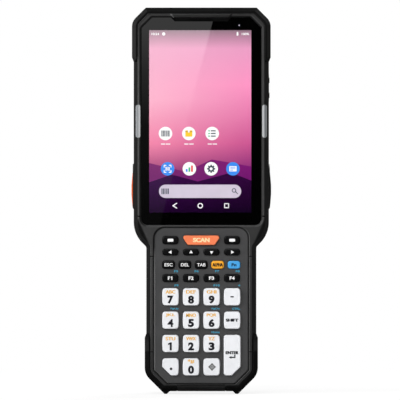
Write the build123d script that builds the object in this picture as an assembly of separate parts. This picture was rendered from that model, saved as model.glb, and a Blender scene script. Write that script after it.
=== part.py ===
from build123d import *
import math
import os

# Handheld barcode data terminal, standing on its base.
# Millimetres. +Z runs up through the head, -Y is the keypad and screen side,
# +X is the right hand side as the screen is read. Z = 0 is the underside of the feet
# and Y = 0 is halfway between the front bumper and the back of the battery.

# ---------------------------------------------------------------- driving sizes
OVERALL_DEPTH = 34.0        # front of the bumpers to the back of the battery
WALL = 2.0                  # general housing wall
CORNER_EASE = 0.3           # smallest rounding on a moulded corner
SMALL_ROUND = 1.0
ROUND = 2.0
LARGE_ROUND = 3.0
THROUGH = 1.0               # how far a cut runs past the face it opens
FIT = 0.15                  # gap all round a part glued into its recess
RUN = 0.25                  # gap all round a part that moves in its hole

# keypad grid
COLUMN_PITCH = 11.7
ROW_PITCH = 13.3
BIG_KEY_WIDTH = 9.45
BIG_KEY_HEIGHT = 9.72
BIG_KEY_BARREL = 0.3        # how far the long sides of a big key bulge
BIG_KEY_CORNER = 1.6
BARREL_RADIUS = 34.0
SMALL_KEY_WIDTH = 8.8
SMALL_KEY_CORNER = 1.5
ARROW_KEY_HEIGHT = 3.4
FUNCTION_KEY_HEIGHT = 4.25
COMMAND_KEY_WIDTH = 7.05
COMMAND_KEY_HEIGHT = 4.4
COMMAND_PITCH = 9.3
SOFT_KEY_HEIGHT = 4.4
SCAN_KEY_TOP_WIDTH = 22.4
SCAN_KEY_BOTTOM_WIDTH = 15.4
SCAN_KEY_HEIGHT = 5.3
SCAN_KEY_CORNER = 1.2
CUT_CORNER = 5.0            # slanted corner of the point and enter keys
GRID_MARGIN = 4.4           # bezel left below the keys
SCAN_MARGIN = 4.215         # bezel left above the scan key
SIDE_MARGIN = 4.2           # bezel left beside the keys
NUMBERS_TO_FUNCTIONS = 10.6  # centre to centre, up the keypad
FUNCTIONS_TO_COMMANDS = 7.6
COMMANDS_TO_ARROWS = 7.2
ARROWS_TO_SCAN = 6.8
KEY_PROUD = 1.1             # big and scan keys above the bezel
SMALL_KEY_PROUD = 0.8
KEY_EDGE = 0.45             # rounding on the top edge of a key
SMALL_KEY_EDGE = 0.65
KEY_FLANGE = 0.6            # lip that keeps a key behind the bezel
KEY_FLANGE_THICKNESS = 0.7
KEY_LIP_GAP = 0.1
KEY_TRAVEL = 0.7
KEY_REST_GAP = 0.2          # left under a fully pressed key

# keypad bezel
BEZEL_THICKNESS = 1.8
BEZEL_BEVEL = 0.65
BEZEL_TOP_RADIUS = 5.8
BEZEL_CHAMFER = 7.6
BEZEL_CORNER = 0.8
BEZEL_GROOVE = 0.8
BEZEL_BELOW_RIM = 0.6
BEZEL_LEDGE = 1.5

# touch window and display
GLASS_WIDTH = 68.0
GLASS_HEIGHT = 118.0
GLASS_THICKNESS = 1.8
GLASS_CHAMFER = 6.0
GLASS_BOTTOM_RADIUS = 3.5
GLASS_BELOW_RIM = 0.5
GLASS_CORNER = 1.5
DISPLAY_SIDE_MARGIN = 2.5   # glass edge to the display module; its picture is 58.5 x 104
DISPLAY_END_MARGIN = 4.0
DISPLAY_THICKNESS = 3.0

# housing outline in front view
FOOT_HEIGHT = 1.55
CHIN = 1.75                 # housing strip under the keypad bezel
NECK_STRIP = 1.875          # housing strip between bezel and glass
NECK_DROP = 5.4             # glass foot to the corner where the head narrows
NECK_OUTER_RADIUS = 16.7
NECK_INNER_RADIUS = 2.2
SIDE_RIM = 2.3              # glass edge to the inside of the head bumper
TOP_RIM = 2.5
RIM_CHAMFER = 0.9           # slope from the rim down to the glass
HANDLE_RIM = 1.65
BEVEL = 2.4                 # front and back outer bevels, seen from the front
BEVEL_RISE = 3.0            # the same bevels along the depth
BUMPER_PROUD = 0.6          # bumpers stand in front of the rim
BUMPER_BEVEL = 2.2
BUMPER_BEVEL_RISE = 2.6
RIM_SEAM = 0.5              # width of the seam marks across the rim
HEAD_SEAM_UP = 4.9          # glass foot to the seam mark on the head rim
HANDLE_SEAM_DOWN = 16.3     # bezel top down to the seam mark on the handle rim

HEAD_BUMPER_WALL = 3.2
HEAD_CHAMFER = 7.9
HEAD_CORNER_RADIUS = 7.0
HEAD_BUMPER_STEP = 1.0      # bumper stands out from the housing side
HEAD_BUMPER_LENGTH = 28.3
HEAD_BUMPER_RAMP = 2.6
BASE_BUMPER_WALL = 2.9
BASE_BUMPER_STEP = 0.9
BASE_CHAMFER = 9.72
BASE_CORNER_RADIUS = 9.0
BASE_BUMPER_LENGTH = 30.55
BASE_BUMPER_RAMP = 2.3
BASE_ARM_WALL = 2.5         # thinner upper arms of the base bumper
BASE_ARM_SEAM_UP = 22.35    # underside of the base to the arm seam
FOOT_WIDTH = 1.4
FOOT_ROOT = 0.6

# depth stations
SPLIT_Y = 0.5               # parting line between the two housings
HANDLE_BACK_Y = 6.0
HEAD_BACK_Y = 9.0
HEAD_BACK_BEVEL = 3.0
HEAD_BACK_RISE = 4.0
HEAD_BLOCK_ABOVE_GLASS = 3.2
BACK_WALL = 2.2
HUMP_DEPTH = 5.0            # scanner hump behind the head
HUMP_WIDTH = 52.0
HUMP_HEIGHT = 37.0
HUMP_CORNER = 4.0
BASE_BUMPER_LIP = 2.5       # base bumper reaches behind the handle

# side controls
TRIGGER_LENGTH = 20.2
TRIGGER_HEIGHT = 8.0
TRIGGER_Y = -6.5
TRIGGER_ABOVE_GLASS = 19.9  # glass foot up to the trigger centre
TRIGGER_PROUD = 1.3
TRIGGER_SLOPE = 0.6
TRIGGER_CROWN_RADIUS = 6.0
TRIGGER_TRAVEL = 1.0
TRIGGER_FLANGE = 1.2
TRIGGER_FLANGE_THICKNESS = 0.9
FRAME_LENGTH = 26.3
FRAME_HEIGHT = 12.0
FRAME_PROUD = 0.6
FRAME_ABOVE_TRIGGER = 2.1
ROCKER_LENGTH = 16.0
ROCKER_HEIGHT = 5.0
ROCKER_BELOW_TOP = 45.5
ROCKER_PROUD = 0.15
ROCKER_BUMP = 0.3
ROCKER_BUMP_SPACING = 8.5
ROCKER_PIVOT_RADIUS = 0.7
LIGHT_PIPE_LENGTH = 18.7
LIGHT_PIPE_WIDTH = 2.7
LIGHT_PIPE_DEPTH = 3.6

# insides
CHASSIS_THICKNESS = 1.2
CHASSIS_GAP = 0.3
STANDOFF = 2.5
STANDOFF_RADIUS = 2.2
BOARD_THICKNESS = 1.2
BOARD_WIDTH = 50.0
BOARD_HEIGHT = 93.0
BOARD_ABOVE_GLASS = 4.2
BOARD_PLAN = [              # share across, share up, width, height, thickness
    (-0.26, 0.44, 18.0, 22.0, 2.0), (0.15, 0.44, 17.0, 18.0, 1.8), (-0.30, 0.73, 12.0, 12.0, 1.4),
    (0.0, 0.71, 10.0, 12.0, 1.4), (0.29, 0.72, 13.0, 18.0, 2.4), (0.0, 0.04, 20.0, 4.0, 2.6),
    (-0.26, 0.91, 14.0, 10.0, 1.6), (0.24, 0.92, 14.0, 8.0, 1.2),
]
MAT_THICKNESS = 0.8
MAT_RIM = 0.7
DOME_HEIGHT = 0.4
DOME_RADIUS = 2.3
DOME_SPACE = 0.5
SWITCH_LENGTH = 8.4
SWITCH_WIDTH = 4.4
SWITCH_HEIGHT = 3.0

# battery and its latch
BATTERY_WIDTH = 55.0
BATTERY_PLUG_WIDTH = 50.4
BATTERY_BEVEL = 5.0
BATTERY_BEVEL_RISE = 8.0
BATTERY_CORNER = 4.0
BATTERY_EDGE = 1.6
BATTERY_GAP = 0.1           # battery flange off the handle back
LABEL_WIDTH = 34.0          # sunk field for a label on the battery
LABEL_HEIGHT = 26.0
LABEL_BELOW_TOP = 14.8
LABEL_DEPTH = 0.5
BAY_DEPTH = 4.0
BAY_CLEARANCE = 0.4
BAY_FLOOR_GAP = 0.3
PACK_OVERHANG = 5.8         # battery above the top of its bay
HINGE_Y = 4.6
HINGE_UP = 5.95             # inner base face to the battery hinge
HINGE_LUG_RADIUS = 1.3
HINGE_LUG_LENGTH = 5.0
HINGE_LUG_X = 11.0
HINGE_LUG_GAP = 0.2
LATCH_WIDTH = 16.0
LATCH_HEIGHT = 8.5
LATCH_THICKNESS = 1.7
LATCH_TRAVEL = 3.0
LATCH_NOSE_WIDTH = 10.0
LATCH_NOSE_GAP = 0.3
LATCH_RIB = 1.2
LATCH_RIBS = 4
HEAD_TO_BATTERY = 0.7
PACK_FOOT_UP = 0.5          # hinge line to the foot of the battery
LATCH_UP = 4.6              # head block to the foot of the latch
LUG_NECK = 0.4

# port cover in the base
COVER_WIDTH = 27.3
COVER_DEPTH = 11.8
COVER_HINGE_RADIUS = 0.8
COVER_HINGE_DROP = 0.45     # hinge below the inner base face
COVER_PIN_RADIUS = 0.45
COVER_PIN_LENGTH = 1.2
USB_WIDTH = 9.0
USB_THICKNESS = 3.2
USB_LENGTH = 7.3
USB_WALL = 0.32
USB_BACK_WALL = 1.0
USB_TONGUE_HALF = 3.2
USB_SET_BACK = 0.5

# scanner, camera, loudspeakers, fastenings
SCAN_WINDOW_WIDTH = 29.6
SCAN_WINDOW_DEPTH = 9.0
SCAN_WINDOW_THICKNESS = 2.6
SCAN_ENGINE_WIDTH = 22.0
SCAN_ENGINE_HEIGHT = 16.0
SCAN_ENGINE_GAP = 0.4
SCAN_WINDOW_SET_BACK = 0.7
SCAN_BARREL_LENGTH = 2.0
SCAN_LENS_RADIUS = 2.6
SCAN_AIMER_RADIUS = 1.8
CAMERA_BELOW_TOP = 55.0
CAMERA_PAD_WIDTH = 22.0
CAMERA_PAD_HEIGHT = 14.0
CAMERA_PAD_DEPTH = 1.2
CAMERA_PAD_RIM = 1.5
CAMERA_GLASS_THICKNESS = 0.9
CAMERA_PAD_CORNER = 2.5
CAMERA_LENGTH = 4.6
CAMERA_LENS_GAP = 0.8
LENS_RADIUS = 3.2
FLASH_RADIUS = 1.5
FLASH_OFFSET = 6.6
INSERT_SPACING = 20.0
INSERT_BELOW_MIDDLE = 8.3   # glass middle down to the inserts
INSERT_RADIUS = 2.1
INSERT_BORE = 1.05
INSERT_LENGTH = 4.6
INSERT_BOSS_WALL = 1.5
SPEAKER_ABOVE_GLASS = 32.7
SPEAKER_WIDTH = 18.0
SPEAKER_HEIGHT = 12.0
SPEAKER_THICKNESS = 3.4
GRILLE_SLOTS = 5
GRILLE_SLOT_WIDTH = 14.0
GRILLE_SLOT_HEIGHT = 1.2
GRILLE_PITCH = 2.4
SLOT_END_FLAT = 0.05        # keeps the ends of a slot from closing to a point
EARPIECE_WIDTH = 12.0
EARPIECE_GAP = 0.55         # display module up to the earpiece
EARPIECE_THICKNESS = 2.3
BROW_HALF_WIDTH = 15.1
BROW_SLOPE = 2.2
BROW_SLOT = 2.2
BROW_LIP = 0.7              # brow reaches past the notch in the glass
BROW_SET_BACK = 0.1
BROW_DROP = 0.35            # brow below the inner edge of the head bumper
BROW_OVERHANG = 0.2         # brow past the upper edge of the glass
EARPIECE_SLOT = 1.9
SCREW_HEAD_RADIUS = 1.9
SCREW_HEAD_HEIGHT = 1.3
SCREW_HEAD_WALL = 1.0
SCREW_RECESS = 2.0
SCREW_RADIUS = 1.0
SCREW_LENGTH = 9.0
SCREW_HOLE_GAP = 0.1
SCREW_HEX = 0.75            # half width across the driver socket
SCREW_SOCKET_DEPTH = 0.7
BOSS_WALL = 1.4
HEAD_SCREW_X = 28.0
HEAD_SCREW_BELOW_TOP = 26.1
HEAD_SCREW_ABOVE_GLASS = 10.2  # glass foot to the lower pair
BASE_SCREW_X = 20.5
BASE_SCREW_UP = 2.75
CONTACT_RADIUS = 0.7
CONTACT_PITCH = 4.0
CONTACT_BELOW_BAY_TOP = 5.0
CRADLE_CONTACT_RADIUS = 0.9
CRADLE_CONTACT_PITCH = 3.0
CRADLE_CONTACT_PROUD = 0.15
CRADLE_CONTACT_LENGTH = 3.0

# ---------------------------------------------------------------- worked-out stations
DIAGONAL = math.sqrt(2.0)
CHAMFER_LOSS = 2.0 - DIAGONAL   # a 45 degree chamfer shrinks by this much per unit of inset

BASE_Z = FOOT_HEIGHT
BASE_INNER_Z = BASE_Z + BASE_BUMPER_WALL
BEZEL_BOTTOM = BASE_INNER_Z + CHIN
NUMBER_ROWS = [BEZEL_BOTTOM + GRID_MARGIN + BIG_KEY_HEIGHT / 2 + i * ROW_PITCH for i in range(4)]
FUNCTION_ROW = NUMBER_ROWS[3] + NUMBERS_TO_FUNCTIONS
COMMAND_ROW = FUNCTION_ROW + FUNCTIONS_TO_COMMANDS
ARROW_ROW = COMMAND_ROW + COMMANDS_TO_ARROWS
SCAN_ROW = ARROW_ROW + ARROWS_TO_SCAN
BEZEL_TOP = SCAN_ROW + SCAN_KEY_HEIGHT / 2 + SCAN_MARGIN
COLUMNS = [(i - 1.5) * COLUMN_PITCH for i in range(4)]
BEZEL_HALF = COLUMNS[3] + BIG_KEY_WIDTH / 2 + SIDE_MARGIN

GLASS_HALF = GLASS_WIDTH / 2
GLASS_BOTTOM = BEZEL_TOP + NECK_STRIP
GLASS_TOP = GLASS_BOTTOM + GLASS_HEIGHT
GLASS_MIDDLE = GLASS_BOTTOM + GLASS_HEIGHT / 2
DISPLAY_HALF = GLASS_HALF - DISPLAY_SIDE_MARGIN
DISPLAY_BOTTOM = GLASS_BOTTOM + DISPLAY_END_MARGIN
DISPLAY_TOP = GLASS_TOP - DISPLAY_END_MARGIN

HEAD_INNER_HALF = GLASS_HALF + SIDE_RIM
HEAD_HALF = HEAD_INNER_HALF + HEAD_BUMPER_WALL
BODY_HALF = HEAD_HALF - HEAD_BUMPER_STEP
HEAD_INNER_TOP = GLASS_TOP + TOP_RIM
TOP_Z = HEAD_INNER_TOP + HEAD_BUMPER_WALL
BODY_TOP = TOP_Z - HEAD_BUMPER_STEP
HEAD_BUMPER_Z = TOP_Z - HEAD_BUMPER_LENGTH
BUMPER_CUT_Z = HEAD_BUMPER_Z - HEAD_BUMPER_RAMP
HANDLE_HALF = BEZEL_HALF + BEZEL_GROOVE + HANDLE_RIM + BEVEL
BASE_HALF = HANDLE_HALF + BASE_BUMPER_STEP
NECK_Z = GLASS_BOTTOM - NECK_DROP
BASE_BUMPER_TOP = BASE_Z + BASE_BUMPER_LENGTH
BASE_BUMPER_CUT_Z = BASE_BUMPER_TOP + BASE_BUMPER_RAMP
BASE_ARM_SEAM = BASE_Z + BASE_ARM_SEAM_UP
COVER_HINGE_Z = BASE_INNER_Z - COVER_HINGE_DROP
BASE_SCREW_Z = BASE_INNER_Z + BASE_SCREW_UP
HINGE_Z = BASE_INNER_Z + HINGE_UP

FRONT_Y = -OVERALL_DEPTH / 2
BACK_Y = OVERALL_DEPTH / 2
RIM_Y = FRONT_Y + BUMPER_PROUD
GLASS_Y = RIM_Y + GLASS_BELOW_RIM
GLASS_BACK_Y = GLASS_Y + GLASS_THICKNESS
BEZEL_Y = RIM_Y + BEZEL_BELOW_RIM
BEZEL_BACK_Y = BEZEL_Y + BEZEL_THICKNESS
CAVITY_Y = GLASS_BACK_Y + BEZEL_LEDGE
DISPLAY_BACK_Y = GLASS_BACK_Y + DISPLAY_THICKNESS
CHASSIS_Y = DISPLAY_BACK_Y + CHASSIS_GAP
CHASSIS_BACK_Y = CHASSIS_Y + CHASSIS_THICKNESS
BOARD_Y = CHASSIS_BACK_Y + STANDOFF
BOARD_BACK_Y = BOARD_Y + BOARD_THICKNESS
FLANGE_Y = BEZEL_BACK_Y + KEY_LIP_GAP
FLANGE_BACK_Y = FLANGE_Y + KEY_FLANGE_THICKNESS
MAT_Y = FLANGE_BACK_Y + KEY_TRAVEL + KEY_REST_GAP
MAT_BACK_Y = MAT_Y + MAT_THICKNESS
KEY_BOARD_Y = MAT_BACK_Y + DOME_SPACE
KEY_BOARD_BACK_Y = KEY_BOARD_Y + BOARD_THICKNESS
HUMP_BACK_Y = HEAD_BACK_Y + HUMP_DEPTH
HEAD_CAVITY_BACK_Y = HEAD_BACK_Y - BACK_WALL
HUMP_CAVITY_BACK_Y = HUMP_BACK_Y - BACK_WALL
BAY_FLOOR_Y = HANDLE_BACK_Y - BAY_DEPTH
BOARD_LOW = GLASS_BOTTOM + BOARD_ABOVE_GLASS

CAVITY_HALF = HEAD_INNER_HALF - WALL
CAVITY_TOP = HEAD_INNER_TOP - WALL
CAVITY_BOTTOM = BASE_INNER_Z + WALL
HANDLE_CAVITY_HALF = BASE_HALF - BASE_BUMPER_WALL - WALL
HEAD_BLOCK_Z = GLASS_BOTTOM + HEAD_BLOCK_ABOVE_GLASS
BAY_BOTTOM = HINGE_Z + HINGE_LUG_RADIUS + HINGE_LUG_GAP + CORNER_EASE / 3
BATTERY_BOTTOM = HINGE_Z + PACK_FOOT_UP
BATTERY_TOP = HEAD_BLOCK_Z - HEAD_TO_BATTERY
BAY_TOP = BATTERY_TOP - PACK_OVERHANG
BATTERY_CONTACT_Z = BAY_TOP - CONTACT_BELOW_BAY_TOP
TRIGGER_Z = GLASS_BOTTOM + TRIGGER_ABOVE_GLASS
FRAME_Z = TRIGGER_Z + FRAME_ABOVE_TRIGGER
ROCKER_Z = TOP_Z - ROCKER_BELOW_TOP
CAMERA_Z = TOP_Z - CAMERA_BELOW_TOP
INSERT_Z = GLASS_MIDDLE - INSERT_BELOW_MIDDLE
SPEAKER_Z = GLASS_BOTTOM + SPEAKER_ABOVE_GLASS
COVER_HINGE_Y = FRONT_Y + COVER_HINGE_RADIUS
LATCH_Y = HEAD_BACK_Y - LATCH_THICKNESS
LATCH_Z = HEAD_BLOCK_Z + LATCH_UP
FAR = 60.0                  # reaches past the outside of the terminal


# ---------------------------------------------------------------- drawing helpers
def spot(u, v, at, axis):
    """The point of a flat outline that is drawn across an axis."""
    return {"x": (at, u, v), "y": (u, at, v), "z": (u, v, at)}[axis]


def section(outline, at, axis="y"):
    """The flat face inside a closed outline of (u, v, corner radius)."""
    corners = [spot(u, v, at, axis) for u, v, _ in outline]
    radii = [radius for _, _, radius in outline]
    return make_face(FilletPolyline(*corners, radius=radii, close=True).edges())


def slab(outline, start, end, axis="y"):
    """An outline carried straight along an axis."""
    return extrude(section(outline, start, axis), amount=end - start, dir=spot(0, 0, 1, axis))


def taper(outline, start, end, inset, axis="y"):
    """An outline that narrows by an inset on its way from start to end."""
    return loft([section(outline, start, axis), section(shrink(outline, inset), end, axis)],
                ruled=True)


def shrink(outline, inset):
    """Move every side of an anticlockwise outline inwards."""
    moved = []
    count = len(outline)
    for i in range(count):
        before, here, after = outline[i - 1], outline[i], outline[(i + 1) % count]
        into = Vector(here[0] - before[0], here[1] - before[1]).normalized()
        out = Vector(after[0] - here[0], after[1] - here[1]).normalized()
        normal = Vector(-into.Y - out.Y, into.X + out.X)
        reach = 2.0 * inset / normal.length ** 2
        convex = into.X * out.Y - into.Y * out.X > 0
        radius = max(here[2] - inset, CORNER_EASE) if convex else here[2] + inset
        moved.append((here[0] + normal.X * reach, here[1] + normal.Y * reach, radius))
    return moved


def both_sides(half):
    """Close an outline from its right half, listed from the bottom up."""
    return half + [(-u, v, radius) for u, v, radius in reversed(half)]


def rectangle(left, right, low, high, radius=CORNER_EASE):
    return [(left, low, radius), (right, low, radius), (right, high, radius), (left, high, radius)]


def block(x0, x1, y0, y1, z0, z1):
    centre = Pos((x0 + x1) / 2, (y0 + y1) / 2, (z0 + z1) / 2)
    return centre * Box(x1 - x0, y1 - y0, z1 - z0)


def rod(radius, u, v, start, end, axis="y"):
    """A round bar or hole along an axis."""
    turn = {"x": Rotation(0, 90, 0), "y": Rotation(-90, 0, 0), "z": Rotation(0, 0, 0)}[axis]
    place = Pos(*spot(u, v, (start + end) / 2, axis))
    return place * turn * Cylinder(radius, end - start)


def pair(shape):
    """A right hand shape and its mirror image."""
    return [shape, mirror(shape, about=Plane.YZ)]


def loose(shapes):
    """Several separate solids kept in one group."""
    return Compound([solid for shape in shapes for solid in shape.solids()])


# ---------------------------------------------------------------- shared outlines
def head_outline():
    return both_sides([
        (BODY_HALF, BUMPER_CUT_Z, CORNER_EASE),
        (HEAD_HALF, HEAD_BUMPER_Z, SMALL_ROUND),
        (HEAD_HALF, TOP_Z - HEAD_CHAMFER, HEAD_CORNER_RADIUS),
        (HEAD_HALF - HEAD_CHAMFER, TOP_Z, SMALL_ROUND),
    ])


def head_inner_outline(inset=HEAD_BUMPER_WALL, low=None):
    chamfer = HEAD_CHAMFER - CHAMFER_LOSS * inset
    return both_sides([
        (HEAD_HALF - inset, BUMPER_CUT_Z - WALL if low is None else low, CORNER_EASE),
        (HEAD_HALF - inset, TOP_Z - inset - chamfer, HEAD_CORNER_RADIUS - inset),
        (HEAD_HALF - inset - chamfer, TOP_Z - inset, CORNER_EASE),
    ])


def base_outline():
    return both_sides([
        (BASE_HALF - BASE_CHAMFER, BASE_Z, CORNER_EASE),
        (BASE_HALF, BASE_Z + BASE_CHAMFER, BASE_CORNER_RADIUS),
        (BASE_HALF, BASE_BUMPER_TOP, CORNER_EASE),
        (HANDLE_HALF, BASE_BUMPER_CUT_Z, CORNER_EASE),
    ])


def base_inner_outline():
    chamfer = BASE_CHAMFER - CHAMFER_LOSS * BASE_BUMPER_WALL
    half = BASE_HALF - BASE_BUMPER_WALL
    arm = BASE_HALF - BASE_ARM_WALL
    return both_sides([
        (half - chamfer, BASE_INNER_Z, CORNER_EASE),
        (half, BASE_INNER_Z + chamfer, BASE_CORNER_RADIUS - BASE_BUMPER_WALL),
        (half, BASE_ARM_SEAM, 0.0),
        (arm, BASE_ARM_SEAM, 0.0),
        (arm, BASE_BUMPER_CUT_Z + WALL, 0.0),
    ])


def body_outline():
    base_chamfer = BASE_CHAMFER - CHAMFER_LOSS * BASE_BUMPER_STEP
    head_chamfer = HEAD_CHAMFER - CHAMFER_LOSS * HEAD_BUMPER_STEP
    low = BASE_Z + BASE_BUMPER_STEP
    return both_sides([
        (HANDLE_HALF - base_chamfer, low, CORNER_EASE),
        (HANDLE_HALF, low + base_chamfer, BASE_CORNER_RADIUS - BASE_BUMPER_STEP),
        (HANDLE_HALF, NECK_Z - (BODY_HALF - HANDLE_HALF), NECK_INNER_RADIUS),
        (BODY_HALF, NECK_Z, NECK_OUTER_RADIUS),
        (BODY_HALF, BODY_TOP - head_chamfer, HEAD_CORNER_RADIUS - HEAD_BUMPER_STEP),
        (BODY_HALF - head_chamfer, BODY_TOP, CORNER_EASE),
    ])


def cavity_outline():
    base_chamfer = BASE_CHAMFER - CHAMFER_LOSS * (BASE_BUMPER_WALL + WALL)
    head_chamfer = HEAD_CHAMFER - CHAMFER_LOSS * (HEAD_BUMPER_WALL + WALL)
    neck = NECK_Z + CAVITY_HALF - BODY_HALF + 1.5 * WALL * DIAGONAL
    return both_sides([
        (HANDLE_CAVITY_HALF - base_chamfer, CAVITY_BOTTOM, SMALL_ROUND),
        (HANDLE_CAVITY_HALF, CAVITY_BOTTOM + base_chamfer, ROUND),
        (HANDLE_CAVITY_HALF, neck - (CAVITY_HALF - HANDLE_CAVITY_HALF), ROUND),
        (CAVITY_HALF, neck, ROUND),
        (CAVITY_HALF, CAVITY_TOP - head_chamfer, ROUND),
        (CAVITY_HALF - head_chamfer, CAVITY_TOP, SMALL_ROUND),
    ])


def glass_recess_outline():
    return both_sides([
        (GLASS_HALF, GLASS_BOTTOM, GLASS_BOTTOM_RADIUS),
        (GLASS_HALF, GLASS_TOP - GLASS_CHAMFER, GLASS_CORNER),
        (GLASS_HALF - GLASS_CHAMFER, GLASS_TOP, SMALL_ROUND),
    ])


def bezel_outline():
    return both_sides([
        (BEZEL_HALF - BEZEL_CHAMFER, BEZEL_BOTTOM, BEZEL_CORNER),
        (BEZEL_HALF, BEZEL_BOTTOM + BEZEL_CHAMFER, BEZEL_CORNER),
        (BEZEL_HALF, BEZEL_TOP, BEZEL_TOP_RADIUS),
    ])


def mat_outline():
    half = HANDLE_CAVITY_HALF - 3 * FIT
    low = NUMBER_ROWS[0] - BIG_KEY_HEIGHT / 2 - KEY_FLANGE - 2 * RUN - MAT_RIM
    chamfer = half - BASE_SCREW_X + SCREW_RADIUS + BOSS_WALL
    return both_sides([
        (half - chamfer, low, SMALL_ROUND),
        (half, low + chamfer, SMALL_ROUND),
        (half, BEZEL_TOP - BEZEL_LEDGE, LARGE_ROUND),
    ])


def side_outline(y, z, height, length):
    """A round-ended window in a side wall."""
    radius = height / 2 - CORNER_EASE
    return rectangle(y - height / 2, y + height / 2, z - length / 2, z + length / 2, radius)


# ---------------------------------------------------------------- keys
def number_key(x, z):
    """Outline of a number key: its long sides bulge a little."""
    w, h, b = BIG_KEY_WIDTH / 2, BIG_KEY_HEIGHT / 2, BIG_KEY_BARREL
    return [
        (x - w + b, z - h, BIG_KEY_CORNER), (x + w - b, z - h, BIG_KEY_CORNER),
        (x + w, z, BARREL_RADIUS), (x + w - b, z + h, BIG_KEY_CORNER),
        (x - w + b, z + h, BIG_KEY_CORNER), (x - w, z, BARREL_RADIUS),
    ]


def point_key(x, z):
    """A number key with its outer lower corner cut to follow the bezel."""
    w, h, b = BIG_KEY_WIDTH / 2, BIG_KEY_HEIGHT / 2, BIG_KEY_BARREL
    return [
        (x - w + CUT_CORNER, z - h, SMALL_ROUND), (x + w - b, z - h, BIG_KEY_CORNER),
        (x + w, z, BARREL_RADIUS), (x + w - b, z + h, BIG_KEY_CORNER),
        (x - w + b, z + h, BIG_KEY_CORNER), (x - w, z - h + CUT_CORNER, SMALL_ROUND),
    ]


def enter_key(x, z):
    """Two rows tall, with its outer lower corner cut to follow the bezel."""
    w = BIG_KEY_WIDTH / 2
    low, high = z - BIG_KEY_HEIGHT / 2, z + ROW_PITCH + BIG_KEY_HEIGHT / 2
    return [
        (x - w, low, BIG_KEY_CORNER), (x + w - CUT_CORNER, low, SMALL_ROUND),
        (x + w, low + CUT_CORNER, SMALL_ROUND), (x + w, high, BIG_KEY_CORNER),
        (x - w, high, BIG_KEY_CORNER),
    ]


def scan_key(x, z):
    top, low, h = SCAN_KEY_TOP_WIDTH / 2, SCAN_KEY_BOTTOM_WIDTH / 2, SCAN_KEY_HEIGHT / 2
    return [(x - low, z - h, SCAN_KEY_CORNER), (x + low, z - h, SCAN_KEY_CORNER),
            (x + top, z + h, SCAN_KEY_CORNER), (x - top, z + h, SCAN_KEY_CORNER)]


def plain_key(x, z, width, height):
    w, h = width / 2, height / 2
    return rectangle(x - w, x + w, z - h, z + h, SMALL_KEY_CORNER)


def function_key(x, z):
    return plain_key(x, z, SMALL_KEY_WIDTH, FUNCTION_KEY_HEIGHT)


def command_key(x, z):
    return plain_key(x, z, COMMAND_KEY_WIDTH, COMMAND_KEY_HEIGHT)


def arrow_key(x, z):
    return plain_key(x, z, SMALL_KEY_WIDTH, ARROW_KEY_HEIGHT)


def soft_key(x, z):
    return plain_key(x, z, SMALL_KEY_WIDTH, SOFT_KEY_HEIGHT)


def key_plan():
    """Every key: name, the outline it has, and where it sits."""
    numbers = [["0", "diamond"], ["1", "2", "3"], ["4", "5", "6", "shift"], ["7", "8", "9", "minus"]]
    plan = [("point", point_key, COLUMNS[0], NUMBER_ROWS[0]),
            ("enter", enter_key, COLUMNS[3], NUMBER_ROWS[0]),
            ("scan", scan_key, 0.0, SCAN_ROW)]
    for row, names in enumerate(numbers):
        places = COLUMNS if row else COLUMNS[1:]
        plan += [(name, number_key, x, NUMBER_ROWS[row]) for name, x in zip(names, places)]
    for name, x in zip(["f1", "f2", "f3", "f4"], COLUMNS):
        plan.append((name, function_key, x, FUNCTION_ROW))
    for i, name in enumerate(["escape", "delete", "tab", "alpha", "function"]):
        plan.append((name, command_key, (i - 2) * COMMAND_PITCH, COMMAND_ROW))
    for name, x in zip(["left", "up", "down", "right"], COLUMNS):
        plan.append((f"arrow_{name}", arrow_key, x, ARROW_ROW))
    for name, x in [("left_soft", COLUMNS[0]), ("right_soft", COLUMNS[3])]:
        plan.append((name, soft_key, x, SCAN_ROW))
    return plan


def key(outline_of):
    """A key cap with its rounded top edge and the lip that holds it behind the bezel."""
    large = outline_of in (number_key, point_key, enter_key, scan_key)
    proud, edge = (KEY_PROUD, KEY_EDGE) if large else (SMALL_KEY_PROUD, SMALL_KEY_EDGE)
    outline = outline_of(0.0, 0.0)
    cap = slab(outline, BEZEL_Y - proud, FLANGE_BACK_Y)
    cap = fillet(cap.faces().sort_by(Axis.Y)[0].edges(), edge)
    return cap + slab(shrink(outline, -KEY_FLANGE - RUN), FLANGE_Y, FLANGE_BACK_Y)


def keys():
    """Keys of the same outline are made once and set in their places."""
    caps = {}
    placed = {}
    for name, outline_of, x, z in key_plan():
        if outline_of not in caps:
            caps[outline_of] = key(outline_of)
        placed[f"key_{name}"] = Pos(x, 0, z) * caps[outline_of]
    return placed


def keypad_bezel():
    edge = shrink(bezel_outline(), FIT - BEZEL_BEVEL)
    plate = slab(edge, BEZEL_Y + BEZEL_BEVEL, BEZEL_BACK_Y)
    plate += taper(edge, BEZEL_Y + BEZEL_BEVEL, BEZEL_Y, BEZEL_BEVEL)
    holes = [slab(shrink(outline_of(x, z), -RUN), BEZEL_Y - THROUGH, BEZEL_BACK_Y + THROUGH)
             for _, outline_of, x, z in key_plan()]
    return plate - holes


def keypad_mat():
    """Silicone sheet over the switches, with a rim that seals against the housing."""
    outline = mat_outline()
    rim = slab(outline, CAVITY_Y, KEY_BOARD_Y)
    rim -= slab(shrink(outline, MAT_RIM), CAVITY_Y - THROUGH, KEY_BOARD_Y + THROUGH)
    return rim + slab(shrink(outline, MAT_RIM / 2), MAT_Y, MAT_BACK_Y)


def keypad_board():
    return slab(mat_outline(), KEY_BOARD_Y, KEY_BOARD_BACK_Y)


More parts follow.
